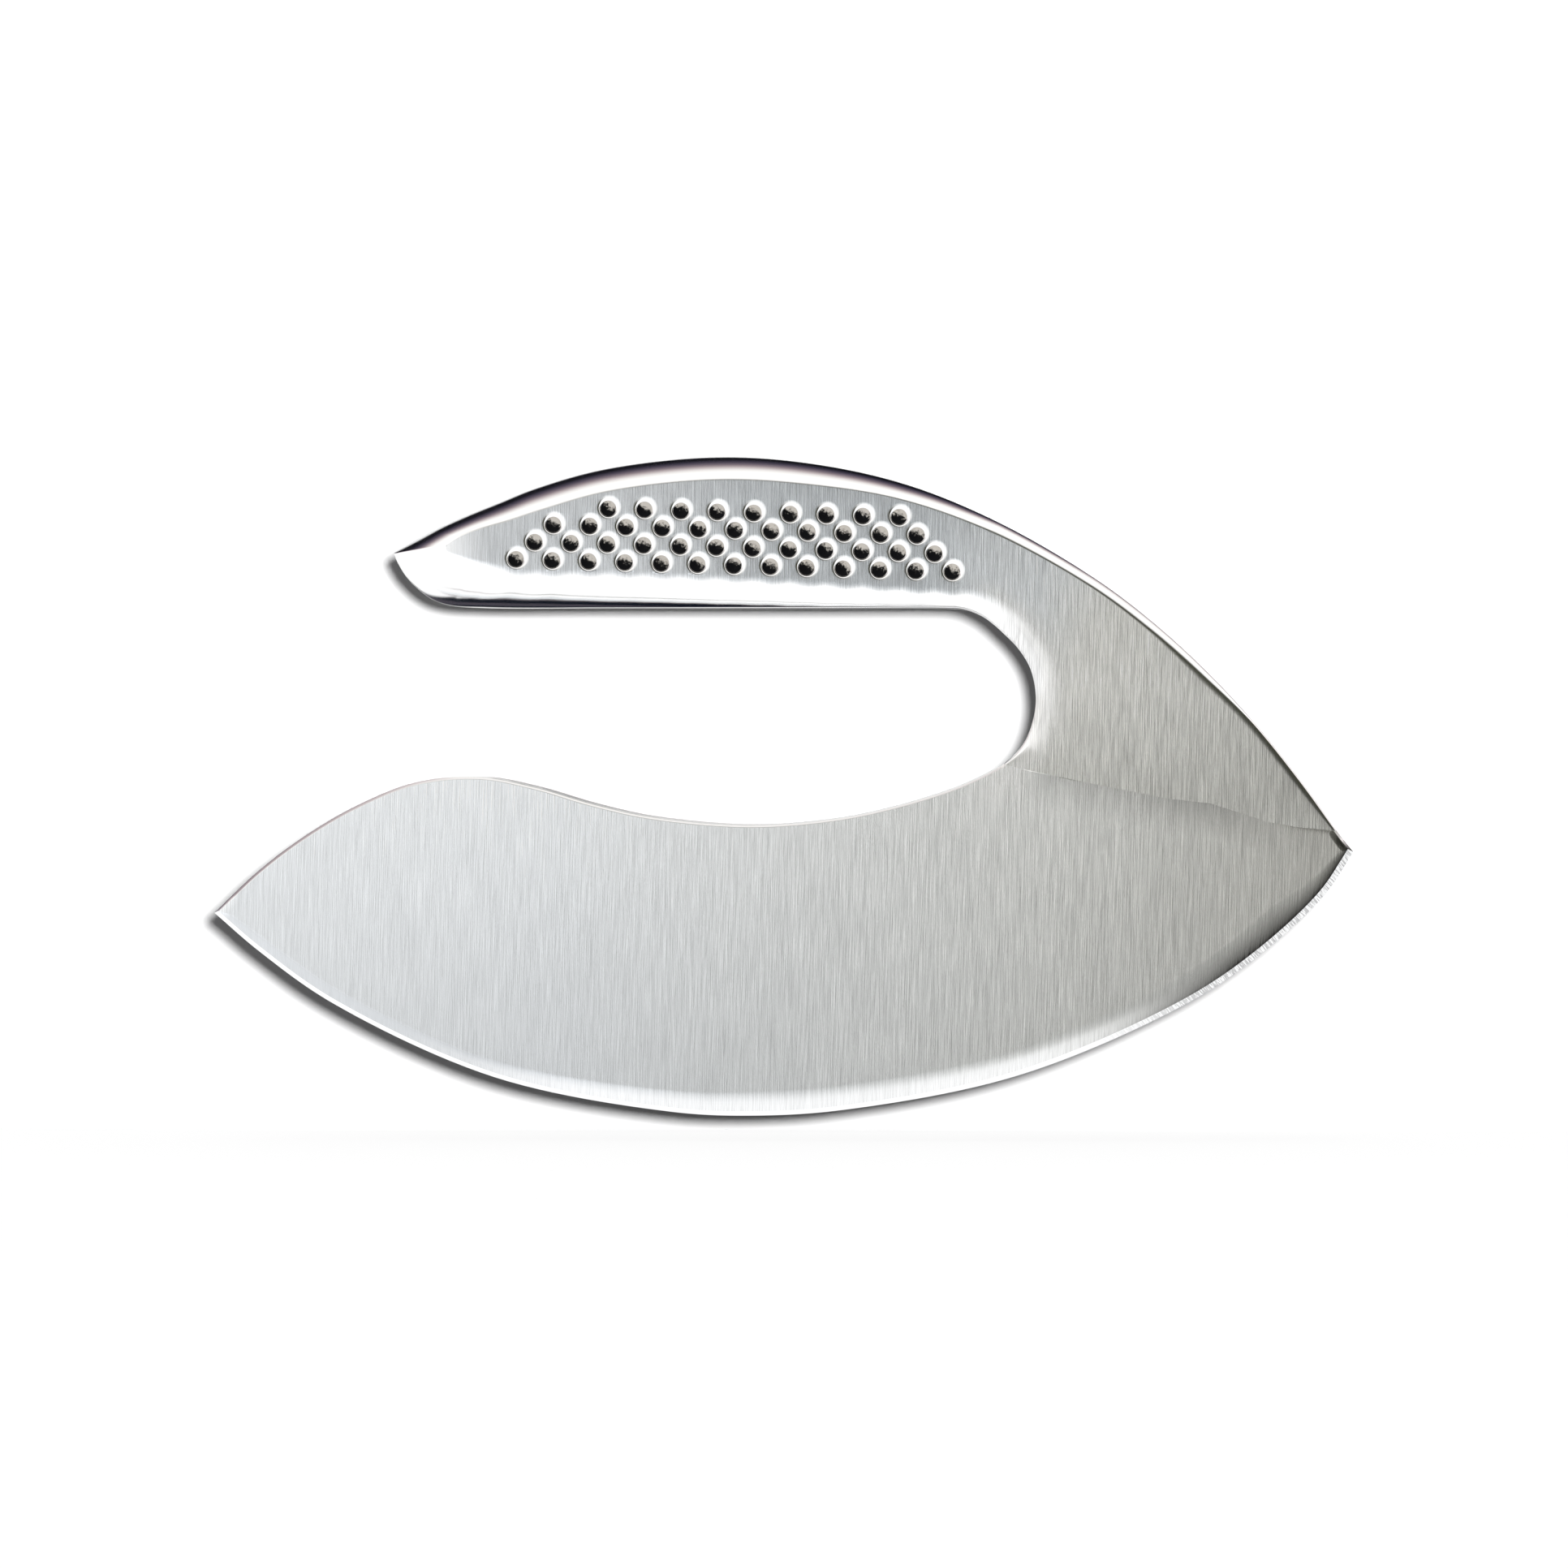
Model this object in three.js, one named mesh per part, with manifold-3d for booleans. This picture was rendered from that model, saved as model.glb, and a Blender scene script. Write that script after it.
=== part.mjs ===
// Double mezzaluna: two parallel crescent blades hung under one hollow steel handle.
// Millimetres. +Z is up, +X runs from the free blade tips to the neck, -Y is the front blade.
// The tool stands on its two cutting edges, with z = 0 at their lowest points.
import * as THREE from 'three';
import { mergeVertices } from 'three/addons/utils/BufferGeometryUtils.js';
import Module from 'manifold-3d';

const wasm = await Module();
wasm.setup();

// Driving sizes of the blades
const bladeLength = 180;
const bladeThickness = 2;
const bladeGap = 12;
const freeTipHeight = 32;
const neckTipHeight = 41.7;
const humpHeight = 53.6;
const backLowHeight = 46;
const bevelWidth = 0.8;
const bevelThickness = 0.7;
const grindWidth = 5;

// Driving sizes of the handle
const fingerGap = 34.4;
const gripDepth = 24;
const gripReach = 102;
const neckWidth = 50;
const throatRadius = 14;
const cornerHeight = 55.6;
const cornerSetback = 5;
const shoulderWidth = 3.6;
const flankWidth = 5.4;
const throatRounding = 2;
const cornerRounding = 0.25;
const shellWall = 1.5;
const floorThickness = 2;
const fillClearance = 0.3;

// Driving sizes of the grip dimples
const dimplePitch = 5.75;
const dimpleRowSpacing = 2.8;
const dimpleDiameter = 3.1;
const dimpleDepth = 0.8;
const dimpleTilt = -0.03;
const dimpleTopDrop = 8.3;
const dimpleRowCounts = [9, 11, 12, 13];
const dimpleRowStartHalfPitches = [0, -3, -4, -5];
const dimpleStartSetback = 16.8;

// Rounding profile of the handle: the sweep stops short of flat, which leaves the crease
const roundingSweep = THREE.MathUtils.degToRad(74);
const outerRoundingSteps = 6;
const innerRoundingSteps = 3;
const dimpleSides = 9;
const dimpleRings = 5;
const stepsPerSpan = 3;
const overrun = 2;
const edgeOverrun = 6;
const mergeDistance = 0.00002;

// Where the named points lie, as shares of the length, depth or height that they follow
const edgeLowShare = 0.472;
const humpShare = 0.234;
const backLowShare = 0.471;
const beakRiseShare = 0.36;
const crownShare = 0.5;
const heelShare = 0.145;
const plateReachShare = 0.75;
const grindMiddleShare = 0.35;

// Places worked out from the sizes
const halfLength = bladeLength / 2;
const halfGap = bladeGap / 2;
const halfWidth = halfGap + bladeThickness;
const edgeLowX = -halfLength + edgeLowShare * bladeLength;
const humpX = -halfLength + humpShare * bladeLength;
const backLowX = -halfLength + backLowShare * bladeLength;
const throatX = halfLength - neckWidth;
const cornerX = throatX - cornerSetback;
const underHeight = backLowHeight + fingerGap;
const crownHeight = underHeight + gripDepth;
const beakX = throatX - gripReach;
const beakHeight = underHeight + beakRiseShare * gripDepth;
const crownX = beakX + crownShare * gripReach;
const throatHeight = underHeight - throatRadius;

// Points of the outlines as shares of the stretch that they lie on
const edgeLeftShares = [[0.084, 0.808], [0.224, 0.548], [0.523, 0.188], [0.848, 0.02]];
const edgeRightShares = [[0.157, 0.023], [0.445, 0.154], [0.718, 0.419], [0.843, 0.607], [0.952, 0.837]];
const backRiseShares = [[0.167, 0.309], [0.346, 0.57], [0.543, 0.792], [0.757, 0.956]];
const backFallShares = [[0.204, 0.21], [0.42, 0.563], [0.64, 0.832]];
const backClimbShares = [[0.328, 0.1], [0.557, 0.293], [0.785, 0.58], [0.892, 0.767]];
const spineRiseShares = [[0.125, 0.245], [0.22, 0.39], [0.325, 0.53], [0.435, 0.675], [0.655, 0.878]];
const spineFallShares = [
  [0.152, 0.017], [0.302, 0.072], [0.449, 0.172], [0.598, 0.313],
  [0.691, 0.427], [0.775, 0.552], [0.846, 0.676], [0.924, 0.834], [0.974, 0.947],
];
const seamShares = [
  [0.076, 0.1], [0.247, 0.28], [0.491, 0.519], [0.623, 0.595],
  [0.709, 0.734], [0.797, 0.873], [0.885, 0.949],
];
const lowerThroatShares = [[0.6, 0.29], [0.91, 0.64]];
const throatArcShares = [
  [0.94, 0.31], [0.8, 0.545], [0.645, 0.705], [0.53, 0.81], [0.4, 0.905], [0.2, 0.985],
];
const underShares = [[0.75, 0.75], [0.5, 0.5], [0.25, 0.25]];
const heelShares = [[0.6, 0.05], [0.42, 0.15], [0.26, 0.345], [0.13, 0.59], [0.05, 0.82]];

// A point given by its shares of the way from one point to another, along X and along Z
function between(from, to, [shareX, shareZ]) {
  return new THREE.Vector2(
    THREE.MathUtils.lerp(from.x, to.x, shareX),
    THREE.MathUtils.lerp(from.y, to.y, shareZ),
  );
}

// A stretch of outline from one point to another through points given by shares
function stretch(from, to, shares) {
  return [from, ...shares.map((share) => between(from, to, share)), to];
}

// A smooth curve through points, with the same number of steps in every span
function smooth(points, steps = stepsPerSpan) {
  const places = points.map((p) => new THREE.Vector3(p.x, p.y, 0));
  const curve = new THREE.CatmullRomCurve3(places, false, 'centripetal');
  const count = (points.length - 1) * steps;
  return Array.from({ length: count + 1 }, (_, i) => {
    const p = curve.getPoint(i / count);
    return new THREE.Vector2(p.x, p.y);
  });
}

// Named corners of the blades and the handle in the XZ plane
const freeTip = new THREE.Vector2(-halfLength, freeTipHeight);
const neckTip = new THREE.Vector2(halfLength, neckTipHeight);
const edgeLow = new THREE.Vector2(edgeLowX, 0);
const hump = new THREE.Vector2(humpX, humpHeight);
const backLow = new THREE.Vector2(backLowX, backLowHeight);
const corner = new THREE.Vector2(cornerX, cornerHeight);
const beak = new THREE.Vector2(beakX, beakHeight);
const crown = new THREE.Vector2(crownX, crownHeight);

// The cutting edge and the back of the blades
const edgePoints = [
  ...stretch(freeTip, edgeLow, edgeLeftShares.map(([x, z]) => [x, 1 - z])),
  ...stretch(edgeLow, neckTip, edgeRightShares).slice(1),
];
const edgeCurve = smooth(edgePoints);
const backPoints = [
  ...stretch(freeTip, hump, backRiseShares),
  ...stretch(hump, backLow, backFallShares).slice(1),
  ...stretch(backLow, corner, backClimbShares).slice(1),
];
const backCurve = smooth(backPoints);

// The spine of the handle, from the beak over the crown to the neck tip of the blades
const spinePoints = [
  ...stretch(beak, crown, spineRiseShares),
  ...stretch(crown, neckTip, spineFallShares).slice(1),
];
const spineCurve = smooth(spinePoints);
const seamEndIndex = (spinePoints.length - 2) * stepsPerSpan;
const seamEnd = spineCurve[seamEndIndex];

// The weld seam between the handle and the blades
const seam = stretch(corner, seamEnd, seamShares);

// The throat, the underside of the grip and the heel, from the seam corner back to the beak
const throatTop = new THREE.Vector2(throatX - throatRadius, underHeight);
const throatArc = throatArcShares.map(([shareX, shareZ]) => new THREE.Vector2(
  throatTop.x + shareX * throatRadius,
  throatHeight + shareZ * throatRadius,
));
const throatSide = new THREE.Vector2(throatX, throatHeight);
const heel = new THREE.Vector2(beakX + heelShare * gripReach, underHeight);
const underPoints = [
  ...backPoints.slice(-3, -1),
  ...stretch(corner, throatSide, lowerThroatShares),
  ...throatArc,
  throatTop,
  ...underShares.map((share) => between(heel, throatTop, share)),
  heel,
  ...heelShares.map(([shareX, shareZ]) => between(beak, heel, [shareX, 1 - shareZ])),
  beak,
];

// How far the flat face lies inside the silhouette at each of those points, along X and Z
const spineInsetShares = [
  [2.42, 0.3], [1.26, -0.37], [0.82, -0.63], [0.63, -0.85], [0.5, -1], [0.32, -1.06], [0.1, -1.08],
  [-0.14, -0.99], [-0.21, -0.7], [-0.2, -0.47], [-0.2, -0.33], [-0.18, -0.25], [-0.16, -0.14],
];
const throatInsetShares = [
  [0.4, -0.15], [0.55, -0.05], [0.7, 0], [0.75, 0.2], [0.78, 0.45], [0.78, 0.7],
  [0.65, 0.85], [0.5, 0.95], [0.25, 1], [0, 1],
];
const flankInsetShares = [
  [0, 0.63], [0, 0.84], [0.1, 0.98], [1, 1.05], [1.25, 1.2],
  [1.31, 1.18], [1.43, 0.98], [1.54, 0.67], [1.6, 0.36],
];
const spineRimShares = [-1, -1];
const backRimShares = [0, -1];
const cornerRimShares = [1, -1];
const inSizes = (shares, size) => shares.map(([x, z]) => new THREE.Vector2(x * size, z * size));
const rimOf = (count, shares) => inSizes(Array(count).fill(shares), cornerRounding);
const spineInsets = [
  ...inSizes(spineInsetShares, shoulderWidth),
  ...rimOf(spinePoints.length - spineInsetShares.length, spineRimShares),
];
const underInsets = [
  ...rimOf(2, backRimShares),
  ...rimOf(1, cornerRimShares),
  ...inSizes(throatInsetShares, throatRounding),
  ...inSizes(flankInsetShares, flankWidth),
  spineInsets[0],
];

// A closed solid as a manifold, from triangles that may face either way as a whole
function solid(positions, triangles) {
  const geometry = new THREE.BufferGeometry();
  geometry.setAttribute('position', new THREE.Float32BufferAttribute(positions, 3));
  geometry.setIndex(triangles);
  return solidFromGeometry(geometry);
}

// A closed three.js geometry as a manifold
function solidFromGeometry(source) {
  const bare = source.clone();
  bare.deleteAttribute('normal');
  bare.deleteAttribute('uv');
  const merged = mergeVertices(bare, mergeDistance);
  const at = merged.getAttribute('position');
  const index = Array.from(merged.getIndex().array);
  const corners = [0, 1, 2].map(() => new THREE.Vector3());
  let volume = 0;
  for (let i = 0; i < index.length; i += 3) {
    corners.forEach((c, k) => c.fromBufferAttribute(at, index[i + k]));
    volume += corners[0].dot(corners[1].clone().cross(corners[2]));
  }
  if (volume < 0) index.reverse();
  return new wasm.Manifold(new wasm.Mesh({
    numProp: 3,
    vertProperties: new Float32Array(at.array),
    triVerts: new Uint32Array(index),
  }));
}

// Triangles that fill a flat outline and turn the same way round as it does
function capTriangles(outline) {
  const triangles = THREE.ShapeUtils.triangulateShape(outline, []);
  const filled = triangles.reduce((sum, t) => sum + THREE.ShapeUtils.area(t.map((i) => outline[i])), 0);
  if (filled * THREE.ShapeUtils.area(outline) < 0) triangles.forEach((t) => t.reverse());
  return withStraightPoints(triangles, outline.length);
}

// The same triangles with each point of a straight stretch, which the filling skips, put back on its edge
function withStraightPoints(triangles, count) {
  const used = new Set(triangles.flat());
  const start = triangles[0][0];
  let filled = triangles;
  for (let step = 1; step < count; step += 1) {
    const point = (start + step) % count;
    if (!used.has(point)) {
      const before = (point + count - 1) % count;
      let after = (point + 1) % count;
      while (!used.has(after)) after = (after + 1) % count;
      filled = filled.flatMap((corners) => {
        const at = corners.findIndex((c, k) => c === before && corners[(k + 1) % 3] === after);
        const third = corners[(at + 2) % 3];
        return at < 0 ? [corners] : [[before, point, third], [point, after, third]];
      });
      used.add(point);
    }
  }
  return filled;
}

// The shape of a loop as it is seen along Y
function seenAlongY(loop) {
  return loop.map((p) => new THREE.Vector2(p.x, p.z));
}

// A solid between loops of equal length, closed by a flat cap on the first and on the last loop
function stack(loops, firstShape = seenAlongY(loops[0]), lastShape = seenAlongY(loops.at(-1))) {
  const count = loops[0].length;
  const positions = loops.flat().flatMap((p) => [p.x, p.y, p.z]);
  const triangles = [];
  for (let ring = 0; ring + 1 < loops.length; ring += 1) {
    for (let i = 0; i < count; i += 1) {
      const a = ring * count + i;
      const b = ring * count + ((i + 1) % count);
      triangles.push(a, b, b + count, a, b + count, a + count);
    }
  }
  const lastStart = (loops.length - 1) * count;
  capTriangles(firstShape).forEach(([i, j, k]) => triangles.push(k, j, i));
  capTriangles(lastShape).forEach((corners) => triangles.push(...corners.map((i) => lastStart + i)));
  return solid(positions, triangles);
}

// A straight prism along Y over an outline in the XZ plane
function prism(outline, yFrom, yTo) {
  const loop = (y) => outline.map((p) => new THREE.Vector3(p.x, y, p.y));
  return stack([loop(yFrom), loop(yTo)]);
}

// The outline of the hollow handle with its extension below the seam, which is cut off later
const tailDepth = floorThickness + shellWall + overrun;
const silhouettePoints = {
  spine: spinePoints,
  tail: [
    new THREE.Vector2(neckTip.x, neckTip.y - tailDepth),
    new THREE.Vector2(underPoints[0].x, underPoints[0].y - tailDepth),
  ],
  under: underPoints,
};
const tailInsets = [
  new THREE.Vector2(-cornerRounding, cornerRounding),
  new THREE.Vector2(cornerRounding, cornerRounding),
];

// Two matched closed loops: the silhouette of the handle, and the rim of its flat face
function matchedLoops() {
  const inset = (points, insets) => points.map((p, i) => p.clone().add(insets[i]));
  const loop = (spine, tail, under) => [
    ...smooth(spine),
    ...tail,
    ...smooth(under).slice(0, -1),
  ];
  const { spine, tail, under } = silhouettePoints;
  return {
    silhouette: loop(spine, tail, under),
    faceRim: loop(inset(spine, spineInsets), inset(tail, tailInsets), inset(under, underInsets)),
  };
}

// One half of the handle's form, drawn in by a distance, from the middle plane to the front face
function halfForm(distance, steps, pastMiddle) {
  const { silhouette, faceRim } = matchedLoops();
  const depth = halfWidth - distance;
  const ring = (angle) => silhouette.map((p, i) => {
    const inset = faceRim[i].clone().sub(p);
    const share = (1 - Math.cos(angle)) / (1 - Math.cos(roundingSweep));
    const at = p.clone().addScaledVector(inset, share).add(inset.setLength(distance));
    return new THREE.Vector3(at.x, -depth * Math.sin(angle) / Math.sin(roundingSweep), at.y);
  });
  const loops = Array.from({ length: steps + 1 }, (_, k) => ring(roundingSweep * k / steps));
  if (pastMiddle > 0) {
    loops.unshift(loops[0].map((p) => new THREE.Vector3(p.x, pastMiddle, p.z)));
  }
  return stack(loops);
}

// Everything below the seam, lifted by a distance
function belowSeam(lift) {
  const reach = bladeLength;
  const line = seam.map((p) => new THREE.Vector2(p.x, p.y + lift));
  const outline = [
    new THREE.Vector2(corner.x - reach, corner.y + lift),
    ...line,
    new THREE.Vector2(seamEnd.x + reach, seamEnd.y + lift),
    new THREE.Vector2(seamEnd.x + reach, -reach),
    new THREE.Vector2(corner.x - reach, -reach),
  ];
  return prism(outline, -reach, reach);
}

// Centres of the dimples on the flat face, row by row
function dimpleCentres() {
  const start = new THREE.Vector2(crown.x - dimpleStartSetback, crown.y - dimpleTopDrop);
  const along = new THREE.Vector2(Math.cos(dimpleTilt), Math.sin(dimpleTilt));
  const down = new THREE.Vector2(Math.sin(dimpleTilt), -Math.cos(dimpleTilt));
  return dimpleRowCounts.flatMap((count, row) => Array.from({ length: count }, (_, i) => {
    const run = (i + dimpleRowStartHalfPitches[row] / 2) * dimplePitch;
    return start.clone().addScaledVector(along, run).addScaledVector(down, row * dimpleRowSpacing);
  }));
}

// One ball for each dimple, set so that it sinks into the face by the dimple's depth
function dimpleBalls() {
  const radius = ((dimpleDiameter / 2) ** 2 + dimpleDepth ** 2) / (2 * dimpleDepth);
  const ball = new THREE.SphereGeometry(radius, dimpleSides, dimpleRings);
  const balls = dimpleCentres().map((centre) => {
    const placed = ball.clone();
    placed.translate(centre.x, -(halfWidth + radius - dimpleDepth), centre.y);
    return solidFromGeometry(placed);
  });
  return wasm.Manifold.union(balls);
}

// The pressed front half of the handle: open at the seam and at the middle plane
function handleShell() {
  const outside = halfForm(0, outerRoundingSteps, 0);
  const inside = halfForm(shellWall, innerRoundingSteps, overrun);
  return outside.subtract(inside).subtract(belowSeam(0)).subtract(dimpleBalls());
}

// The sand that fills the hollow handle, clear of the steel all round
function sandFill() {
  const front = halfForm(shellWall + fillClearance, innerRoundingSteps, 0);
  const both = front.add(front.mirror([0, 1, 0]));
  return both.subtract(belowSeam(fillClearance));
}

// The outline of one blade: back, seam, end of the spine, then a long way past the edge
function bladeOutline() {
  const reach = bladeLength;
  return [
    ...backCurve,
    ...seam.slice(1),
    ...spineCurve.slice(seamEndIndex + 1),
    new THREE.Vector2(neckTip.x + overrun, neckTip.y - overrun),
    new THREE.Vector2(neckTip.x + overrun, -reach),
    new THREE.Vector2(freeTip.x - overrun, -reach),
    new THREE.Vector2(freeTip.x - overrun, freeTip.y - overrun),
  ];
}

// The direction that points into the blade, square to a path along its edge
function inwardAt(path, i) {
  const before = path[Math.max(i - 1, 0)];
  const after = path[Math.min(i + 1, path.length - 1)];
  return new THREE.Vector2(before.y - after.y, after.x - before.x).normalize();
}

// The ground plate of a blade before its outline is cut: its section swept along the edge
function groundPlate() {
  const last = edgeCurve.length - 1;
  const beyond = (from, towards) => towards.clone().sub(from).setLength(edgeOverrun).add(towards);
  const path = [
    beyond(edgeCurve[1], edgeCurve[0]),
    ...edgeCurve,
    beyond(edgeCurve[last - 1], edgeCurve[last]),
  ];
  const halfThickness = bladeThickness / 2;
  const halfBevel = bevelThickness / 2;
  const grindHalf = (share) => THREE.MathUtils.lerp(halfBevel, halfThickness, Math.sin(share * Math.PI / 2));
  const section = [
    [0, 0],
    [bevelWidth, halfBevel],
    [bevelWidth + grindMiddleShare * grindWidth, grindHalf(grindMiddleShare)],
    [bevelWidth + grindWidth, halfThickness],
    [plateReachShare * humpHeight, halfThickness],
  ];
  const profile = [...section, ...section.slice(1).reverse().map(([run, y]) => [run, -y])];
  const loops = path.map((p, i) => {
    const inward = inwardAt(path, i);
    return profile.map(([run, y]) => new THREE.Vector3(p.x + inward.x * run, y, p.y + inward.y * run));
  });
  const shape = profile.map(([run, y]) => new THREE.Vector2(run, y));
  return stack(loops, shape, shape);
}

// One blade on its own middle plane
function blade() {
  const outline = bladeOutline();
  const halfThickness = bladeThickness / 2;
  const swept = groundPlate();
  const core = [
    ...backCurve.slice(stepsPerSpan, -1),
    ...seam,
    neckTip,
    ...innerEdge(),
  ];
  const flatPart = prism(core, -halfThickness, halfThickness);
  return swept.add(flatPart).intersect(prism(outline, -bladeThickness, bladeThickness));
}

// The cutting edge drawn in to where the plate has its full thickness
function innerEdge() {
  const inset = bevelWidth + grindWidth + overrun;
  const skipped = 2;
  return edgeCurve.slice(skipped, -skipped).map((p, i) => (
    p.clone().addScaledVector(inwardAt(edgeCurve, i + skipped), inset)
  )).reverse();
}

// The plate that holds the blades apart and closes the neck along the seam
function neckFloor() {
  const under = seam.map((p) => new THREE.Vector2(p.x, p.y - floorThickness)).reverse();
  const ends = [
    new THREE.Vector2(corner.x - overrun, corner.y),
    ...seam,
    new THREE.Vector2(seamEnd.x + overrun, seamEnd.y),
    new THREE.Vector2(seamEnd.x + overrun, seamEnd.y - floorThickness),
    ...under,
    new THREE.Vector2(corner.x - overrun, corner.y - floorThickness),
  ];
  return prism(ends, -halfGap, halfGap).intersect(prism(bladeOutline(), -bladeGap, bladeGap));
}

// A named mesh from a finished solid
function mesh(name, form, material) {
  const { vertProperties, triVerts } = form.getMesh();
  const geometry = new THREE.BufferGeometry();
  geometry.setAttribute('position', new THREE.BufferAttribute(new Float32Array(vertProperties), 3));
  geometry.setIndex(new THREE.BufferAttribute(new Uint32Array(triVerts), 1));
  geometry.computeVertexNormals();
  const part = new THREE.Mesh(geometry, material);
  part.name = name;
  return part;
}

const bladeSteel = new THREE.MeshStandardMaterial({ color: 0xc8cbcc, roughness: 0.34, metalness: 1 });
const handleSteel = new THREE.MeshStandardMaterial({ color: 0xb4b9bd, roughness: 0.28, metalness: 1 });
const floorSteel = new THREE.MeshStandardMaterial({ color: 0x9a9da0, roughness: 0.45, metalness: 1 });
const sand = new THREE.MeshStandardMaterial({ color: 0xc2ab82, roughness: 0.95, metalness: 0 });

const shell = handleShell();
const plate = blade();
const bladeOffset = halfGap + bladeThickness / 2;

const tool = new THREE.Group();
tool.add(
  mesh('front_handle_shell', shell, handleSteel),
  mesh('rear_handle_shell', shell.mirror([0, 1, 0]), handleSteel),
  mesh('front_blade', plate.translate([0, -bladeOffset, 0]), bladeSteel),
  mesh('rear_blade', plate.translate([0, bladeOffset, 0]), bladeSteel),
  mesh('neck_floor', neckFloor(), floorSteel),
  mesh('sand_fill', sandFill(), sand),
);

export default tool;
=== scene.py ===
"""Looks of the double mezzaluna: two crescent blades under one hollow dimpled steel handle."""
import math

import bmesh
import bpy
from bpy.props import FloatProperty, FloatVectorProperty, PointerProperty
from mathutils import Matrix, Vector


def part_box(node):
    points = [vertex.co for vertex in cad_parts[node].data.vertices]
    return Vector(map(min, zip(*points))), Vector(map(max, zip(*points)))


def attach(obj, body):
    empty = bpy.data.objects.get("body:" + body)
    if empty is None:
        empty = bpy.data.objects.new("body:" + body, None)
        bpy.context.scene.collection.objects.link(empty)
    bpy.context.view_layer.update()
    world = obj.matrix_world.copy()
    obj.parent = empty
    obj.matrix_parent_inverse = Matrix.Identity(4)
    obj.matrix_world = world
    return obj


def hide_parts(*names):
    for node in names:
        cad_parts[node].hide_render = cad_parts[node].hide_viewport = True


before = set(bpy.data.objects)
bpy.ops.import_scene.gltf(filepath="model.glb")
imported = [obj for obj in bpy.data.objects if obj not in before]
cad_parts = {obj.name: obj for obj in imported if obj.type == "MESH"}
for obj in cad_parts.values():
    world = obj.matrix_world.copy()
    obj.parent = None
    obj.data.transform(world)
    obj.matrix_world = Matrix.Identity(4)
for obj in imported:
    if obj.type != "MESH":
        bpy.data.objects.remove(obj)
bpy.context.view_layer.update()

bl_info = {
    "name": "Double mezzaluna",
    "version": (1, 0, 0),
    "blender": (4, 5, 0),
    "location": "View3D > Sidebar > Mezzaluna",
    "description": "Dresses the double mezzaluna: blades, hollow handle, neck floor, sand and studio",
    "category": "Object",
}

BLADE_LOW, BLADE_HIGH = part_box("front_blade")
SHELL_LOW, SHELL_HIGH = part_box("front_handle_shell")

MM = 0.001
HALF_LENGTH = BLADE_HIGH.x / MM
HALF_WIDTH = -BLADE_LOW.y / MM
HALF_GAP = -BLADE_HIGH.y / MM

# Heights and reaches of the outlines in millimetres
FREE_TIP_HEIGHT = 32
NECK_TIP_HEIGHT = 41.7
HUMP = Vector((-47.88, 53.6))
BACK_LOW = Vector((-5.22, 46))
EDGE_LOW = Vector((-5.04, 0))
CORNER = Vector((35, 55.6))
UNDER_HEIGHT = 80.4
THROAT_X = 40
THROAT_RADIUS = 14
BEAK = Vector((SHELL_LOW.x / MM, 89.04))
CROWN = Vector((-11, SHELL_HIGH.z / MM))
HEEL = Vector((-47.21, UNDER_HEIGHT))

# Points of the outlines as shares of the stretch that they lie on
EDGE_LEFT = [(0.084, 0.192), (0.224, 0.452), (0.523, 0.812), (0.848, 0.98)]
EDGE_RIGHT = [(0.157, 0.023), (0.445, 0.154), (0.718, 0.419), (0.843, 0.607), (0.952, 0.837)]
BACK_RISE = [(0.167, 0.309), (0.346, 0.57), (0.543, 0.792), (0.757, 0.956)]
BACK_FALL = [(0.204, 0.21), (0.42, 0.563), (0.64, 0.832)]
BACK_CLIMB = [(0.328, 0.1), (0.557, 0.293), (0.785, 0.58), (0.892, 0.767)]
SPINE_RISE = [(0.125, 0.245), (0.22, 0.39), (0.325, 0.53), (0.435, 0.675), (0.655, 0.878)]
SPINE_FALL = [
    (0.152, 0.017), (0.302, 0.072), (0.449, 0.172), (0.598, 0.313), (0.691, 0.427),
    (0.775, 0.552), (0.846, 0.676), (0.924, 0.834), (0.974, 0.947),
]
SEAM = [
    (0.076, 0.1), (0.247, 0.28), (0.491, 0.519), (0.623, 0.595),
    (0.709, 0.734), (0.797, 0.873), (0.885, 0.949),
]
THROAT_LOWER = [(0.6, 0.29), (0.91, 0.64)]
THROAT_ARC = [(0.94, 0.31), (0.8, 0.545), (0.645, 0.705), (0.53, 0.81), (0.4, 0.905), (0.2, 0.985)]
UNDER = [(0.75, 0.75), (0.5, 0.5), (0.25, 0.25)]
HEEL_RISE = [(0.6, 0.95), (0.42, 0.85), (0.26, 0.655), (0.13, 0.41), (0.05, 0.18)]

# How far the flat face lies inside the silhouette, as shares of the rounding that it belongs to
SPINE_INSETS = [
    (2.42, 0.3), (1.26, -0.37), (0.82, -0.63), (0.63, -0.85), (0.5, -1), (0.32, -1.06), (0.1, -1.08),
    (-0.14, -0.99), (-0.21, -0.7), (-0.2, -0.47), (-0.2, -0.33), (-0.2, -0.28), (-0.2, -0.18),
]
TIP_INSETS = [(-0.9, -0.6), (-1, -0.3)]
THROAT_INSETS = [
    (0.4, -0.15), (0.55, -0.05), (0.7, 0), (0.75, 0.2), (0.78, 0.45), (0.78, 0.7),
    (0.65, 0.85), (0.5, 0.95), (0.25, 1), (0, 1),
]
FLANK_INSETS = [
    (0, 0.63), (0, 0.84), (0.1, 0.98), (1, 1.05), (1.25, 1.2),
    (1.31, 1.18), (1.43, 0.98), (1.54, 0.67), (1.6, 0.36),
]
SHOULDER_WIDTH = 3.6
THROAT_ROUNDING = 2
FLANK_WIDTH = 5.1
CORNER_ROUNDING = 0.3

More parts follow.
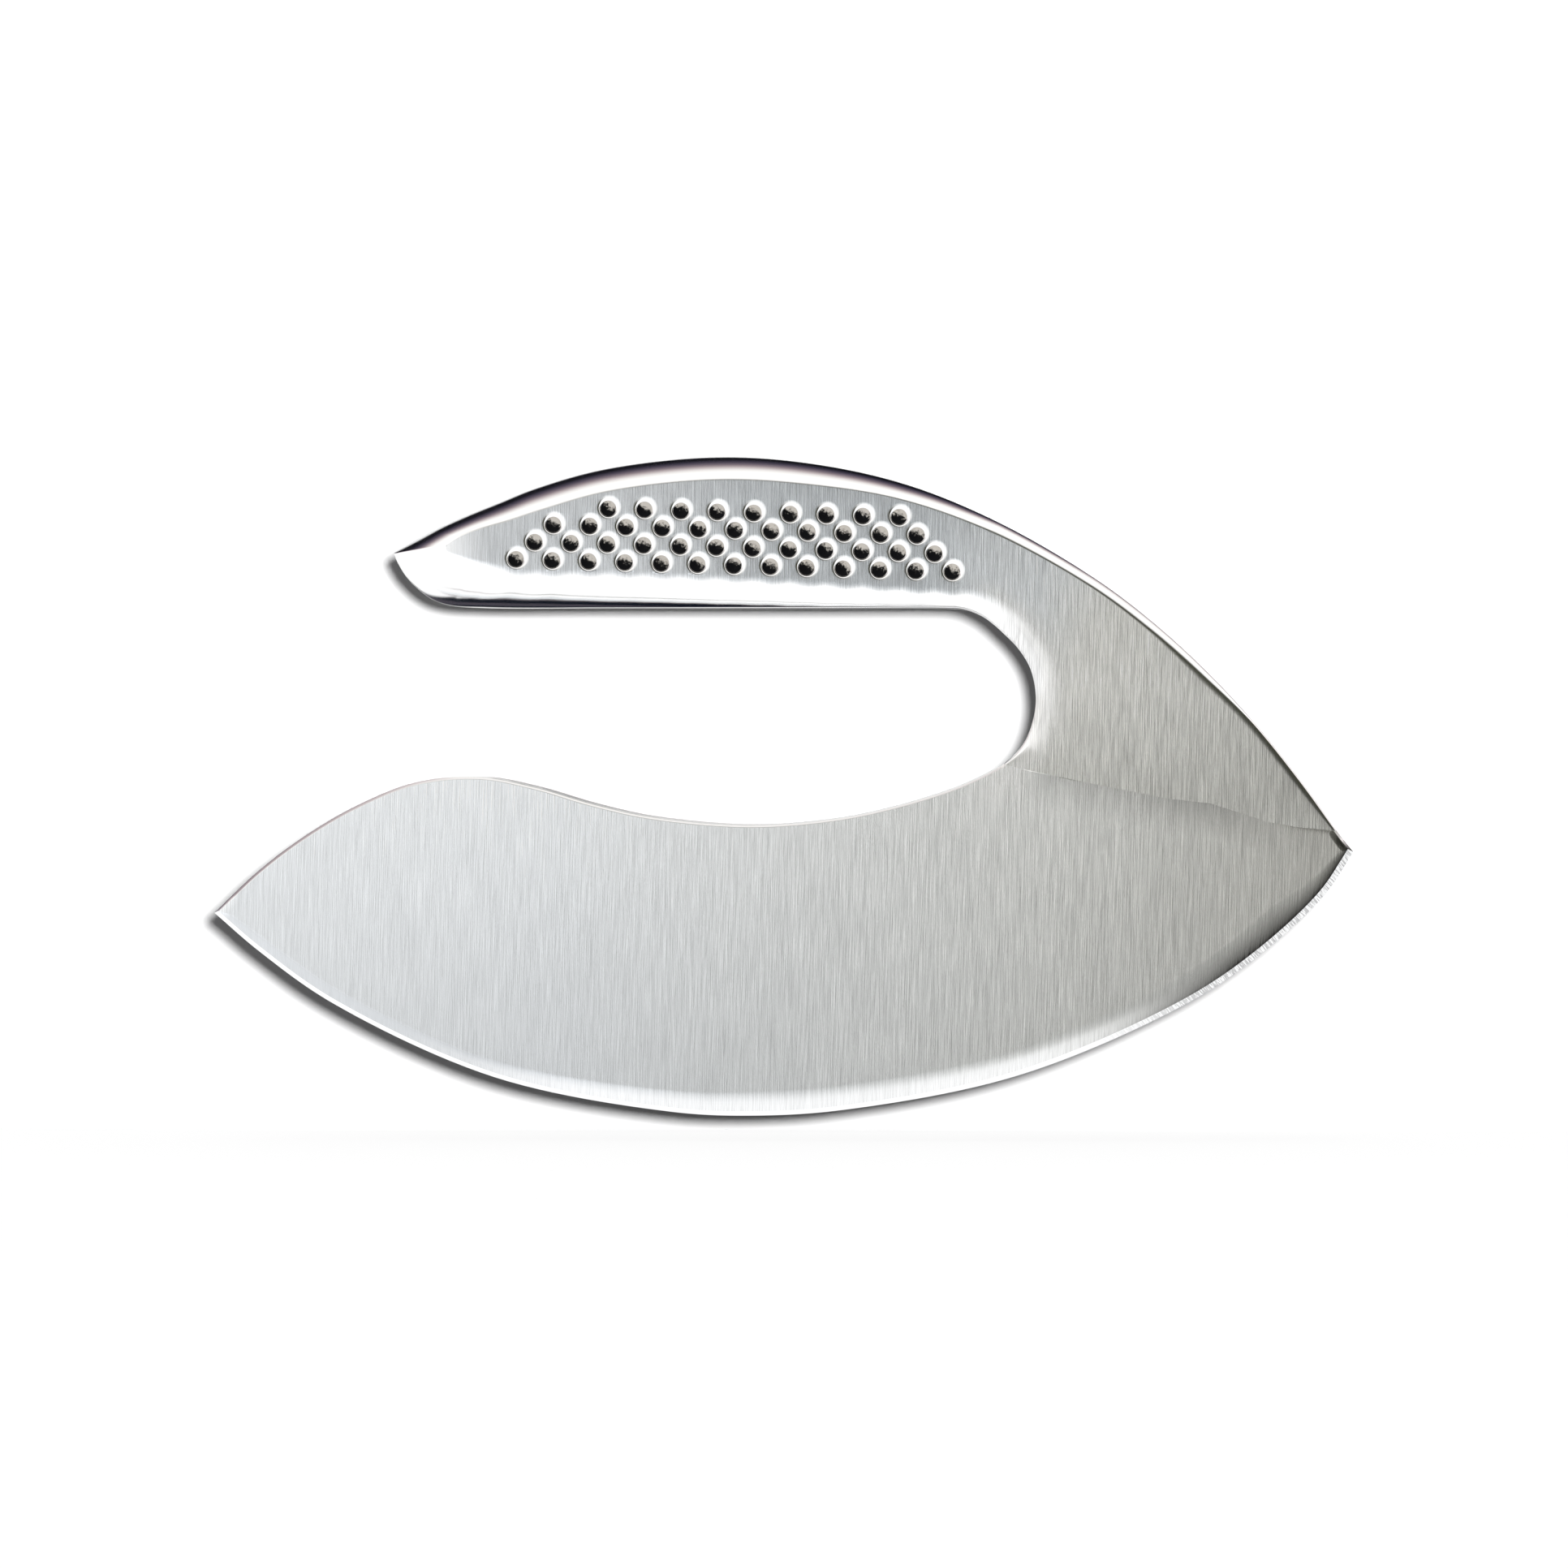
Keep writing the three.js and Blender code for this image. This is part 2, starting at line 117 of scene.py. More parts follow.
# Section at each point: end and start of the rounding in degrees, flat at the middle plane in mm,
# then width and depth in mm of the soft roll between the rounding and the face
SPINE_SECTIONS = [
    (82, 38, 2.9, 0.15, 0.006), (86, 4, 0.6, 0.15, 0.006), (86, 0, 0.1, 0.3, 0.012),
    (84, 0, 0.1, 0.3, 0.012), (82, 0, 0.1, 0.25, 0.012), (82, 0, 0.1, 0.25, 0.012),
    (82, 0, 0.1, 0.25, 0.012), (82, 2, 1.2, 0.25, 0.012), (82, 11, 3.4, 0.25, 0.012),
    (82, 10, 6.2, 0.22, 0.008), (82, 27, 7, 0.22, 0.006), (82, 33, 7.19, 0.4, 0.015),
    (82, 33, 7.31, 0.9, 0.07), (82, 33, 7.69, 1, 0.1), (82, 33, 7.69, 0.9, 0.11),
    (82, 33, 7.78, 0.3, 0.03),
]
UNDER_SECTIONS = [
    (76, 46, 7.7, 0.3, 0.03), (80, 46, 7.4, 2.6, 0.14), (82, 46, 7.3, 2.6, 0.1), (82, 46, 7.15, 2.5, 0.08),
    (82, 46, 7.05, 2.4, 0.08), (82, 46, 7, 2.2, 0.08), (82, 46, 6.85, 2, 0.1), (82, 46, 6.85, 1.8, 0.09),
    (82, 46, 6.85, 1.6, 0.08), (81, 46, 6.9, 1.3, 0.07), (80, 46, 6.9, 1.1, 0.065), (82, 39, 6, 1, 0.065),
    (84, 26, 4.9, 1, 0.065), (84, 13, 3.4, 1, 0.065), (86, 0, 0.1, 1, 0.065), (87, 14, 0.6, 0.8, 0.05),
    (87, 20, 1.3, 0.5, 0.03), (86, 26, 2, 0.3, 0.02), (86, 34, 3, 0.15, 0.008), (84, 38, 3.3, 0.15, 0.006),
    (82, 38, 2.9, 0.15, 0.006),
]

# Rows of the rounding as shares of its sweep, those below 0 as shares of the flat, and of the roll
OUTER_ROWS = [
    -1, -0.1, 0, 0.04, 0.08, 0.13, 0.18, 0.24, 0.31, 0.38, 0.46, 0.54, 0.62, 0.7, 0.78, 0.85, 0.91, 0.96, 1,
]
INNER_ROWS = [1, 0.75, 0.5, 0.25, 0, -1]
ROLL_ROWS = [0.25, 0.55, 0.8, 1]

# Steps in each span of the outlines
HANDLE_STEPS, EDGE_STEPS, BACK_STEPS, TAIL_STEPS = 16, 12, 8, 6

# Rows of the grip dimples: how many in each, and how far each starts to the left in half pitches
DIMPLE_COUNTS = [9, 11, 12, 13]
DIMPLE_HALF_PITCHES = [0, -3, -4, -5]
DIMPLE_START = Vector((-27.4, 96.15))
DIMPLE_TILT = -0.03
DIMPLE_LEAN = Vector((-0.12, -0.2))
SCALLOP_DEPTH = 0.4
SCALLOP_REACH = (-44.5, 30)
SCALLOP_FADE = 4

# One dimple from its lip to its bottom, as shares of its radius and depth, and where its filling begins
DIMPLE_PROFILE = [
    (1.3, 0), (1.22, 0.008), (1.14, 0.025), (1.07, 0.055), (1.02, 0.1), (0.98, 0.16), (0.94, 0.24),
    (0.9, 0.34), (0.86, 0.44), (0.82, 0.56), (0.81, 0.58), (0.62, 0.72), (0.45, 0.83), (0.3, 0.92),
    (0.15, 0.98), (0, 1),
]
DIMPLE_SIDES = 28
FILLING_START = 0.815
LIP_POLISH = 0.22
LEAN_START, LEAN_RUN = 1.15, 0.3
GLINT_WAY = Vector((0.45, 0.88))
GLINT_REACH = 1.6

# Where the face starts to roll away towards the beak, and how fast
BEAK_ROLL_START = -47.2
BEAK_ROLL = 0.0065

# Width of the polished bevel and of the convex grind along the edge: place along X, width
BEVEL_WIDTHS = [(-90, 0.66), (-84, 0.7), (-30, 0.7), (0, 0.72), (37, 0.77), (62, 0.85), (75, 0.93), (90, 1)]
GRIND_WIDTHS = [
    (-90, 0.45), (-86, 1.1), (-80, 1.4), (-50, 1.5), (-31, 2.2), (0, 3), (20, 3), (36, 2.9),
    (55, 3), (80, 3.6), (90, 0.8),
]
BEVEL_HALVES = [(-90, 0.8), (-84, 0.5), (-78, 0.37), (55, 0.37), (70, 0.6), (82, 0.7), (90, 0.8)]
EDGE_HALVES = [(-90, 0.45), (-84, 0.12), (-78, 0.02), (82, 0.02), (90, 0.2)]
GRIND_ROWS = [0.12, 0.3, 0.5, 0.72, 1]
GRIND_POWER = 1.35
GRIND_MARGIN = 0.25

# Rims of the blade at the seam and along the neck: width, and half thickness as a share of the plate's
SEAM_RIM = [(0, 0), (0, 0.99), (0.01, 1), (0.1, 1), (0.25, 1), (0.45, 1), (0.7, 1), (1, 1), (1.3, 1)]
TAIL_RIM = [
    (0, 0), (0, 0.5), (0.4, 0.88), (0.7, 0.92), (0.95, 0.955), (1.15, 0.98), (1.3, 0.995), (1.4, 1), (1.5, 1),
]

# The back's broken edge: where it turns, as shares of its width, and the rows of the flat beyond it
CHAMFER_TURN = (0.5, 0.45)
CHAMFER_MARGINS = [0.12, 0.3, 0.5, 0.8, 1.1]

# Room that the stations of each rim leave at the blade's corners, so that the rows keep apart there
EDGE_ROOM = (2.2, 2.7)
BACK_ROOM = (2.6, 1.5)
TAIL_ROOM = (2.6, 1.1)

# Rows of each rim that are polished, and rows over which the painted shade fades
POLISHED_ROWS = {"edge": 7, "back": 4, "tail": 3}
PAINTED_SHADE_ROWS = (2, 6)

# Painted shade and polish along the rims: start and run along X in mm, and strength
SPINE_PAINTED_SHADE = (54, 26, 0.5)
EDGE_PAINTED_SHADE = (46, 26)
EDGE_PAINTED_SHADE_POWER = 1.4
TIP_PAINTED_SHADE = (-34, 16, 0.2)
EDGE_POLISH = (-62, 30, 60, 22)
EDGE_POLISH_STEP, EDGE_POLISH_MOST = 0.3, 0.7

# Linear colours where the steel leaves those of the panel; most of them are painted light, as noted at each
# Painted reflection gradients: the grip darker to the right and brighter at its end, the neck brighter higher
# up, the blade darker towards the neck
GRIP_RIGHT = (0.59, 0.62, 0.645)
GRIP_END = (0.78, 0.81, 0.83)
NECK_LOW = (0.66, 0.66, 0.625)
NECK_HIGH = (0.85, 0.85, 0.815)
BLADE_MIDDLE = (0.688, 0.693, 0.672)
BLADE_NECK = (0.56, 0.556, 0.522)
# A painted highlight round the throat, and the throat wall's greyer tone
THROAT_HIGHLIGHT = (0.9, 0.9, 0.88)
THROAT_WALL = (0.75, 0.75, 0.74)
# Painted shade: the band below the seam, and near the neck tip by the spine
PAINTED_SHADE_TINT = (0.02, 0.018, 0.014)
# Painted shade along the rims, standing in for the dark card mirrored there
RIM_PAINTED_SHADE = (0.02, 0.017, 0.016)
# The bevel's own scratches, and the filling's worn specks, which a painted highlight gathers at the top of
# each dimple
SCRATCH_TINT = (0.3, 0.3, 0.3)
WORN_AND_GLINT_FILLING = (0.41, 0.385, 0.35)

# Where those colours start and end, in metres
BEAK_SHINE = (-0.041, -0.056)
GRIP_CHANGE = (-0.02, 0)
GRIP_END_CHANGE = (0.022, 0.035)
NECK_RISE = (0.05, 0.066)
NECK_LEAN, NECK_SHIFT, NECK_CHANGE = -0.6, 0.042, (0.03, 0.048)
SPINE_LEAN, SPINE_CHANGE, SPINE_STRENGTH = 0.76, (0.1192, 0.1222), 0.35
BLADE_CHANGE = (-0.035, 0.045)
BLADE_NECK_CHANGE = (0.045, 0.085)
BLADE_HEIGHT, BLADE_SHADES = (0, 0.055), (0.87, 1.22)
GLOW_AWAY, GLOW_ACROSS = (0.0205, 0.0148), (0.002, 0.009)
WALL_AWAY, WALL_ACROSS, WALL_UP = (0.0164, 0.0152), (0.006, 0.012), (-0.009, -0.004)
SEAM_SHADE_DEPTH = 0.0055
SEAM_SHADE_STEPS = [(0.033, 0.043, 0, 0.24), (0.057, 0.067, 1, 1.5), (0.066, 0.081, 0, -1.25)]

# Scratches of the bevel: streaks per metre across and down, their lean, which of them show, and where
BEVEL_BRUSHING = (3800, 500, -0.9)
BEVEL_SCRATCHES = (0.42, 0.58, 0.15, 0.65)
SCRATCHED_BEVEL = (0.045, 0.07)

# Brushing: streaks per metre in depth, finer and slower marks, contrast, roughness and relief
STREAKS_PER_DEPTH = 900
FINE_STRETCH, MOTTLE_STRETCH = (2.7, 1, 1.9), (110, 60, 45)
FINE_SHARE, FINE_SHIFT, FINE_HEIGHT = 0.5, -0.75, 0.4
CONTRAST_CHANGE = (-0.07, 0.07)
MOTTLE_STRENGTH = 0.09
RAGGED_STRENGTH, RAGGED_BASE, RAGGED_REACH = 1.4, 0.3, 0.008
BRUSHED_ROUGH, BRUSHED_ROUGH_SPREAD, POLISHED_ROUGH = 0.19, 0.12, 0.12
BRUSHED_RELIEF, BEVEL_RELIEF, FILLING_RELIEF, SAND_RELIEF = 0.000012, 0.000003, 0.00003, 0.00012

# Scale, detail and roughness of the marks in the filling and the sand, and where the filling is worn and its
# painted highlight lies
SPECKS, PATCHES, DAMP = (2600, 4, 0.75), (420, 1, 0.5), (60, 3, 0.5)
GLINT_STRENGTH, PATCH_STRENGTH, WEAR_AND_GLINT_SHIFT, WEAR_AND_GLINT_CHANGE = 0.75, 0.4, -0.6, (0.5, 0.72)

# Studio, in metres. The lamp stands up and to the right of the camera, which sends the shadow down and left
CAMERA_PLACE = Vector((0.0396, -1.108, 0.0524))
CAMERA_TARGET = Vector((0, 0, 0.0524))
LENS_LENGTH = 160.1
BACKDROP_REACH, BACKDROP_BEHIND = 0.6, 0.03
FLOOR_REACH, FLOOR_HEIGHT = 2, -0.004
KEY_LAMP_PLACE = (0.0945, -1.1, 0.0975)

# Way to the dark card in the mirrored room, and how it fades out on each axis
CARD_LEAN, CARD_SHIFT, CARD_EDGE = 0.566, 0.008, (-0.16, 0.2)
CARD_FADES = [("y", -0.34, -0.75), ("z", -0.42, -0.34), ("z", 0.55, 0.3)]
CARD_TINT = (0.045, 0.045, 0.032)

# The room above, from the camera's side round to behind the object
ROOM_ABOVE = [
    (0, (1, 0.99, 0.975)), (0.21, (0.82, 0.79, 0.78)), (0.39, (0.54, 0.47, 0.48)),
    (0.545, (0.28, 0.23, 0.25)), (0.7, (0.125, 0.1, 0.13)), (0.85, (0.04, 0.035, 0.055)),
    (0.975, (0.006, 0.006, 0.009)),
]
ROOM_SPAN, ROOM_START = 1.05, 0.15
ROOM_TURN, ROOM_TURN_SHARE, ROOM_SHIFT = (0.1, 0.5), 0.4, 0.035

# The room below, which is white near the camera's side and dark behind, with a dim strip in the dark
ROOM_SPLIT = (-0.1, 0.1)
LOWER_TINTS = [(0.004, 0.006, 0.012), (0.06, 0.055, 0.07), (0.985, 0.99, 1)]
LOWER_EDGES = [(0.9, 0.08), (1.3, 0.15)]
LOWER_STRIP = [(0.62, 0.72), (0.9, 0.8)]

# The level band behind the object
REAR_BAND, REAR_BAND_STRENGTH = (0.9, 0.9, 0.9), 0.85
REAR_BAND_START, REAR_BAND_EDGE, REAR_BAND_LEAN = (0.5, 0.62), (0.32, 0.24), -0.3
ROOM_LEVEL = 1.2
MATT_TINT = (0.06, 0.06, 0.062)


def length(name, description, default, low, high):
    """A length of the panel, given in millimetres."""
    limits = {"default": default * MM, "min": low * MM, "max": high * MM}
    return FloatProperty(name=name, description=description, unit="LENGTH", **limits)


def tint(name, description, default):
    """A colour of the panel."""
    limits = {"default": default, "min": 0, "max": 1}
    return FloatVectorProperty(name=name, description=description, subtype="COLOR", **limits)


class MezzalunaSizes(bpy.types.PropertyGroup):
    """Sizes that a user would change."""

    wall: length("Shell wall", "Thickness of the pressed steel of the handle", 1.5, 0.5, 3)
    dimple_radius: length("Dimple radius", "Radius of a grip dimple at the face", 1.53, 1, 1.54)
    dimple_depth: length("Dimple depth", "Depth of a grip dimple below the face", 0.55, 0.2, 1)
    dimple_pitch: length("Dimple pitch", "Distance between neighbours in one row of dimples", 5.75, 4, 8)
    row_spacing: length("Row spacing", "Distance between the rows of dimples", 2.8, 2, 4)
    chamfer: length("Back chamfer", "Width of the broken edge along the backs of the blades", 0.42, 0.1, 0.8)


class MezzalunaFinish(bpy.types.PropertyGroup):
    """Colours that a user would change."""

    blade: tint("Blade steel", "Colour of the brushed blades", (0.754, 0.777, 0.794))
    handle: tint("Handle steel", "Colour of the brushed face of the handle", (0.685, 0.71, 0.735))
    polish: tint("Polished steel", "Colour of the bevels, shoulders and dimple walls", (0.88, 0.88, 0.875))
    dimple_paint: tint("Dimple paint", "Colour of the dark filling of the dimples", (0.0025, 0.0025, 0.003))
    sand: tint("Sand", "Colour of the ballast inside the handle", (0.54, 0.41, 0.22))


# Outlines

def between(start, end, share):
    """A point given by its shares of the way between two points, along X and along Z."""
    return Vector((start.x + (end.x - start.x) * share[0], start.y + (end.y - start.y) * share[1]))


def stretch(start, end, shares):
    return [start, *(between(start, end, share) for share in shares), end]


def smooth(points, steps):
    """A smooth curve through points, with the same number of steps in every span."""
    padded = [points[0] * 2 - points[1], *points, points[-1] * 2 - points[-2]]
    curve = []
    for before, start, end, after in zip(padded, padded[1:], padded[2:], padded[3:]):
        spans = (before, start), (start, end), (end, after)
        lead, span, tail = (math.sqrt((far - near).length) for near, far in spans)
        leaving = ((start - before) / lead - (end - before) / (lead + span) + (end - start) / span) * span
        arriving = ((end - start) / span - (after - start) / (span + tail) + (after - end) / tail) * span
        for step in range(steps):
            t = step / steps
            curve.append(
                start * (2 * t**3 - 3 * t**2 + 1) + leaving * (t**3 - 2 * t**2 + t)
                + end * (3 * t**2 - 2 * t**3) + arriving * (t**3 - t**2)
            )
    return [*curve, points[-1]]


def clamp(*values):
    """The least of the values, kept between 0 and 1."""
    return max(0, min(1, *values))


def along(table, x):
    """The value of a table of places and values at a place, with straight runs between."""
    for (start, low), (end, high) in zip(table, table[1:]):
        if x <= end:
            return low + (high - low) * max(0, x - start) / (end - start)
    return table[-1][1]


FREE_TIP = Vector((-HALF_LENGTH, FREE_TIP_HEIGHT))
NECK_TIP = Vector((HALF_LENGTH, NECK_TIP_HEIGHT))
EDGE_POINTS = stretch(FREE_TIP, EDGE_LOW, EDGE_LEFT) + stretch(EDGE_LOW, NECK_TIP, EDGE_RIGHT)[1:]
BACK_POINTS = (
    stretch(FREE_TIP, HUMP, BACK_RISE) + stretch(HUMP, BACK_LOW, BACK_FALL)[1:]
    + stretch(BACK_LOW, CORNER, BACK_CLIMB)[1:]
)
SPINE_POINTS = stretch(BEAK, CROWN, SPINE_RISE) + stretch(CROWN, NECK_TIP, SPINE_FALL)[1:]
SEAM_END = SPINE_POINTS[-2]
SEAM_POINTS = stretch(CORNER, SEAM_END, SEAM)
THROAT_TOP = Vector((THROAT_X - THROAT_RADIUS, UNDER_HEIGHT))
THROAT_SIDE = Vector((THROAT_X, UNDER_HEIGHT - THROAT_RADIUS))
UNDER_POINTS = (
    stretch(CORNER, THROAT_SIDE, THROAT_LOWER)
    + [THROAT_TOP + Vector((x, z - 1)) * THROAT_RADIUS for x, z in THROAT_ARC]
    + [THROAT_TOP]
    + [between(HEEL, THROAT_TOP, share) for share in UNDER]
    + [HEEL]
    + [between(BEAK, HEEL, share) for share in HEEL_RISE]
    + [BEAK]
)


def handle_stations(steps):
    """The silhouette, the rim of the face and the section at each station, from corner to seam end."""
    def insets(shares, size):
        return [Vector(share) * size for share in shares]

    seam_way = (SEAM_POINTS[-2] - SEAM_POINTS[-1]).normalized()
    corner_way = (SEAM_POINTS[1] - SEAM_POINTS[0]).normalized()
    spine_insets = insets(SPINE_INSETS, SHOULDER_WIDTH) + insets(TIP_INSETS, CORNER_ROUNDING)
    spine_insets.append(seam_way * CORNER_ROUNDING)
    under_insets = [corner_way * CORNER_ROUNDING] + insets(THROAT_INSETS, THROAT_ROUNDING)
    under_insets += insets(FLANK_INSETS, FLANK_WIDTH) + [spine_insets[0]]
    # The curve runs on past the seam end as it does in the solid, and is cut there
    spine = smooth(SPINE_POINTS, steps)[:-steps]
    spine_rim = smooth([p + inset for p, inset in zip(SPINE_POINTS, spine_insets)], steps)
    lead_in = BACK_POINTS[-3:-1]
    under = smooth(lead_in + UNDER_POINTS, steps)[2 * steps:]
    under_rim = smooth([p + inset for p, inset in zip(UNDER_POINTS, under_insets)], steps)

    def sections(table):
        return [
            Vector(low).lerp(Vector(high), step / steps)
            for low, high in zip(table, table[1:]) for step in range(steps)
        ] + [Vector(table[-1])]

    for point in under_rim:
        point.y -= scallop(point.x)
    silhouette = under[:-1] + spine
    rim = under_rim[:-1] + spine_rim
    section = sections(UNDER_SECTIONS)[:-1] + sections(SPINE_SECTIONS)
    return list(zip(silhouette, rim, section))


def scallop(x):
    """How far the face dips into the flank below the lowest row of dimples."""
    low, high = SCALLOP_REACH
    sizes = bpy.context.scene.mezzaluna_sizes
    first = dimple_centres(sizes)[-DIMPLE_COUNTS[-1]]
    wave = 0.5 + 0.5 * math.cos(math.tau * (x - first.x) / (sizes.dimple_pitch / MM))
    return SCALLOP_DEPTH * wave * clamp(x - low, (high - x) / SCALLOP_FADE)


def beak_drop(x):
    """How far the face rolls away, in millimetres, towards the beak."""
    return BEAK_ROLL * max(0, BEAK_ROLL_START - x) ** 2


# Mesh tools

def place(point, y):
    """A point of the XZ plane, in millimetres, at a depth, as a place in metres."""
    return Vector((point.x, y, point.y)) * MM


def draw_chain(bm, verts, closed=False):
    """Edges from each vertex to the next."""
    ends = verts[1:] + (verts[:1] if closed else [])
    return [bm.edges.get(pair) or bm.edges.new(pair) for pair in zip(verts, ends)]


def sweep_rows(bm, rows, closed=False):
    """Draws the first row as a chain and extrudes it from row to row. Gives the vertices of each row."""
    swept = [[bm.verts.new(spot) for spot in rows[0]]]
    edges = draw_chain(bm, swept[0], closed)
    for row in rows[1:]:
        made = bmesh.ops.extrude_edge_only(bm, edges=edges)["geom"]
        fresh = {v for v in made if isinstance(v, bmesh.types.BMVert)}
        verts = [next(e.other_vert(v) for e in v.link_edges if e.other_vert(v) in fresh) for v in swept[-1]]
        for vert, spot in zip(verts, row):
            vert.co = spot
        edges = draw_chain(bm, verts, closed)
        swept.append(verts)
    return swept


def fill_between(bm, edges, normal):
    """Fills flat loops, holes among them, with triangles."""
    filled = bmesh.ops.triangle_fill(bm, use_beauty=True, use_dissolve=False, edges=edges, normal=normal)
    if not any(isinstance(part, bmesh.types.BMFace) for part in filled["geom"]):
        raise RuntimeError("a flat face was not filled")


def add_object(name, data):
    """A new object in the scene."""
    made = bpy.data.objects.new(name, data)
    bpy.context.scene.collection.objects.link(made)
    return made


def mesh_object(bm, name, materials):
    """A new object in the scene from a bmesh, which is freed."""
    mesh = bpy.data.meshes.new(name)
    bm.to_mesh(mesh)
    bm.free()
    for material in materials:
        mesh.materials.append(material)
    return add_object(name, mesh)


def finish_piece(bm, name, materials, slot, *nodes):
    """Makes the object of a piece, facing outwards, riding on the frame in place of its CAD nodes."""
    bmesh.ops.recalc_face_normals(bm, faces=bm.faces)
    if bm.calc_volume(signed=True) < 0:
        bmesh.ops.reverse_faces(bm, faces=bm.faces)
    open_edges = sum(1 for edge in bm.edges if not edge.is_manifold)
    if open_edges:
        raise RuntimeError(f"{name} has {open_edges} edges that are not closed")
    for face in bm.faces:
        face.smooth = True
    piece = mesh_object(bm, name, materials)
    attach(piece, "root")
    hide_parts(*nodes)


# Shader tools

def feed(tree, node, inputs):
    """Gives a node values or links for its inputs, by name or number."""
    for key, value in inputs.items():
        socket = node.inputs[key]
        if isinstance(value, bpy.types.NodeSocket):
            tree.links.new(value, socket)
        else:
            socket.default_value = (*value[:3], 1) if socket.type == "RGBA" else value


def put(tree, kind, inputs=None, **settings):
    """Adds a node with its settings and inputs."""
    made = tree.nodes.new(kind)
    for name, value in settings.items():
        setattr(made, name, value)
    feed(tree, made, inputs or {})
    return made


def calc(tree, operation, *values):
    return put(tree, "ShaderNodeMath", dict(enumerate(values)), operation=operation).outputs[0]


def times(tree, first, second):
    return calc(tree, "MULTIPLY", first, second)


def plus(tree, first, second):
    return calc(tree, "ADD", first, second)


def scaled(tree, value, scale, shift):
    """A value times a scale, plus a shift."""
    return calc(tree, "MULTIPLY_ADD", value, scale, shift)


def linear(tree, value, start, end, low=0, high=1, kind="LINEAR"):
    """A straight run from low to high as the value goes from start to end."""
    run = {"Value": value, "From Min": start, "From Max": end, "To Min": low, "To Max": high}
    return put(tree, "ShaderNodeMapRange", run, interpolation_type=kind).outputs[0]


def step(tree, value, start, end, low=0, high=1):
    """A soft step from low to high as the value goes from start to end."""
    return linear(tree, value, start, end, low, high, "SMOOTHSTEP")


def blend(tree, factor, first, second, mode="MIX"):
    """Two colours mixed by a factor."""
    inputs = {0: factor, 6: first, 7: second}
    return put(tree, "ShaderNodeMix", inputs, data_type="RGBA", blend_type=mode).outputs[2]


def noise(tree, where, scale, detail, roughness):
    inputs = {"Vector": where, "Scale": scale, "Detail": detail, "Roughness": roughness}
    return put(tree, "ShaderNodeTexNoise", inputs).outputs[0]


def stretched(tree, where, stretch_by):
    """Coordinates stretched on each axis."""
    return put(tree, "ShaderNodeVectorMath", {0: where, 1: stretch_by}, operation="MULTIPLY").outputs[0]


def split(tree, where):
    return put(tree, "ShaderNodeSeparateXYZ", {0: where}).outputs


def object_place(tree):
    return put(tree, "ShaderNodeTexCoord").outputs["Object"]


def attribute(tree, name):
    return put(tree, "ShaderNodeAttribute", attribute_name=name).outputs["Fac"]


def grain_group():
    """Brushed grain: streaks along Z, finer streaks in them, and a slow mottle."""
    found = bpy.data.node_groups.get("brushed_grain")
    if found:
        return found
    group = bpy.data.node_groups.new("brushed_grain", "ShaderNodeTree")
    group.interface.new_socket(name="Coordinates", in_out="INPUT", socket_type="NodeSocketVector")
    for way, names in (("INPUT", ("Across", "Along", "Lean")), ("OUTPUT", ("Streaks", "Fine", "Mottle"))):
        for name in names:
            group.interface.new_socket(name=name, in_out=way, socket_type="NodeSocketFloat")
    enter = group.nodes.new("NodeGroupInput").outputs
    leave = group.nodes.new("NodeGroupOutput")
    x, y, z = split(group, enter["Coordinates"])
    leaned = scaled(group, z, times(group, enter["Lean"], -1), x)
    brushed = put(group, "ShaderNodeCombineXYZ", {
        0: times(group, leaned, enter["Across"]),
        1: times(group, y, STREAKS_PER_DEPTH),
        2: times(group, z, enter["Along"]),
    }).outputs[0]
    fine = stretched(group, brushed, FINE_STRETCH)
    slow = stretched(group, enter["Coordinates"], MOTTLE_STRETCH)
    feed(group, leave, {
        "Streaks": noise(group, brushed, 1, 2, 0.5),
        "Fine": noise(group, fine, 1, 2, 0.55),
        "Mottle": noise(group, slow, 1, 4, 0.6),
    })
    return group


def grain(tree, across, down, lean):
    """The brushed grain in a material, with streaks per metre across and down, and their lean."""
    inputs = {"Coordinates": object_place(tree), "Across": across, "Along": down, "Lean": lean}
    return put(tree, "ShaderNodeGroup", inputs, node_tree=grain_group()).outputs


def show(tree, kind, inputs):
    """Ends a material's tree with a shader of a kind."""
    put(tree, "ShaderNodeOutputMaterial", {0: put(tree, kind, inputs).outputs[0]})


def relief(tree, height, depth):
    """A bump of a real depth in metres."""
    return put(tree, "ShaderNodeBump", {"Distance": 1, "Height": times(tree, height, depth)}).outputs[0]


# Finishes

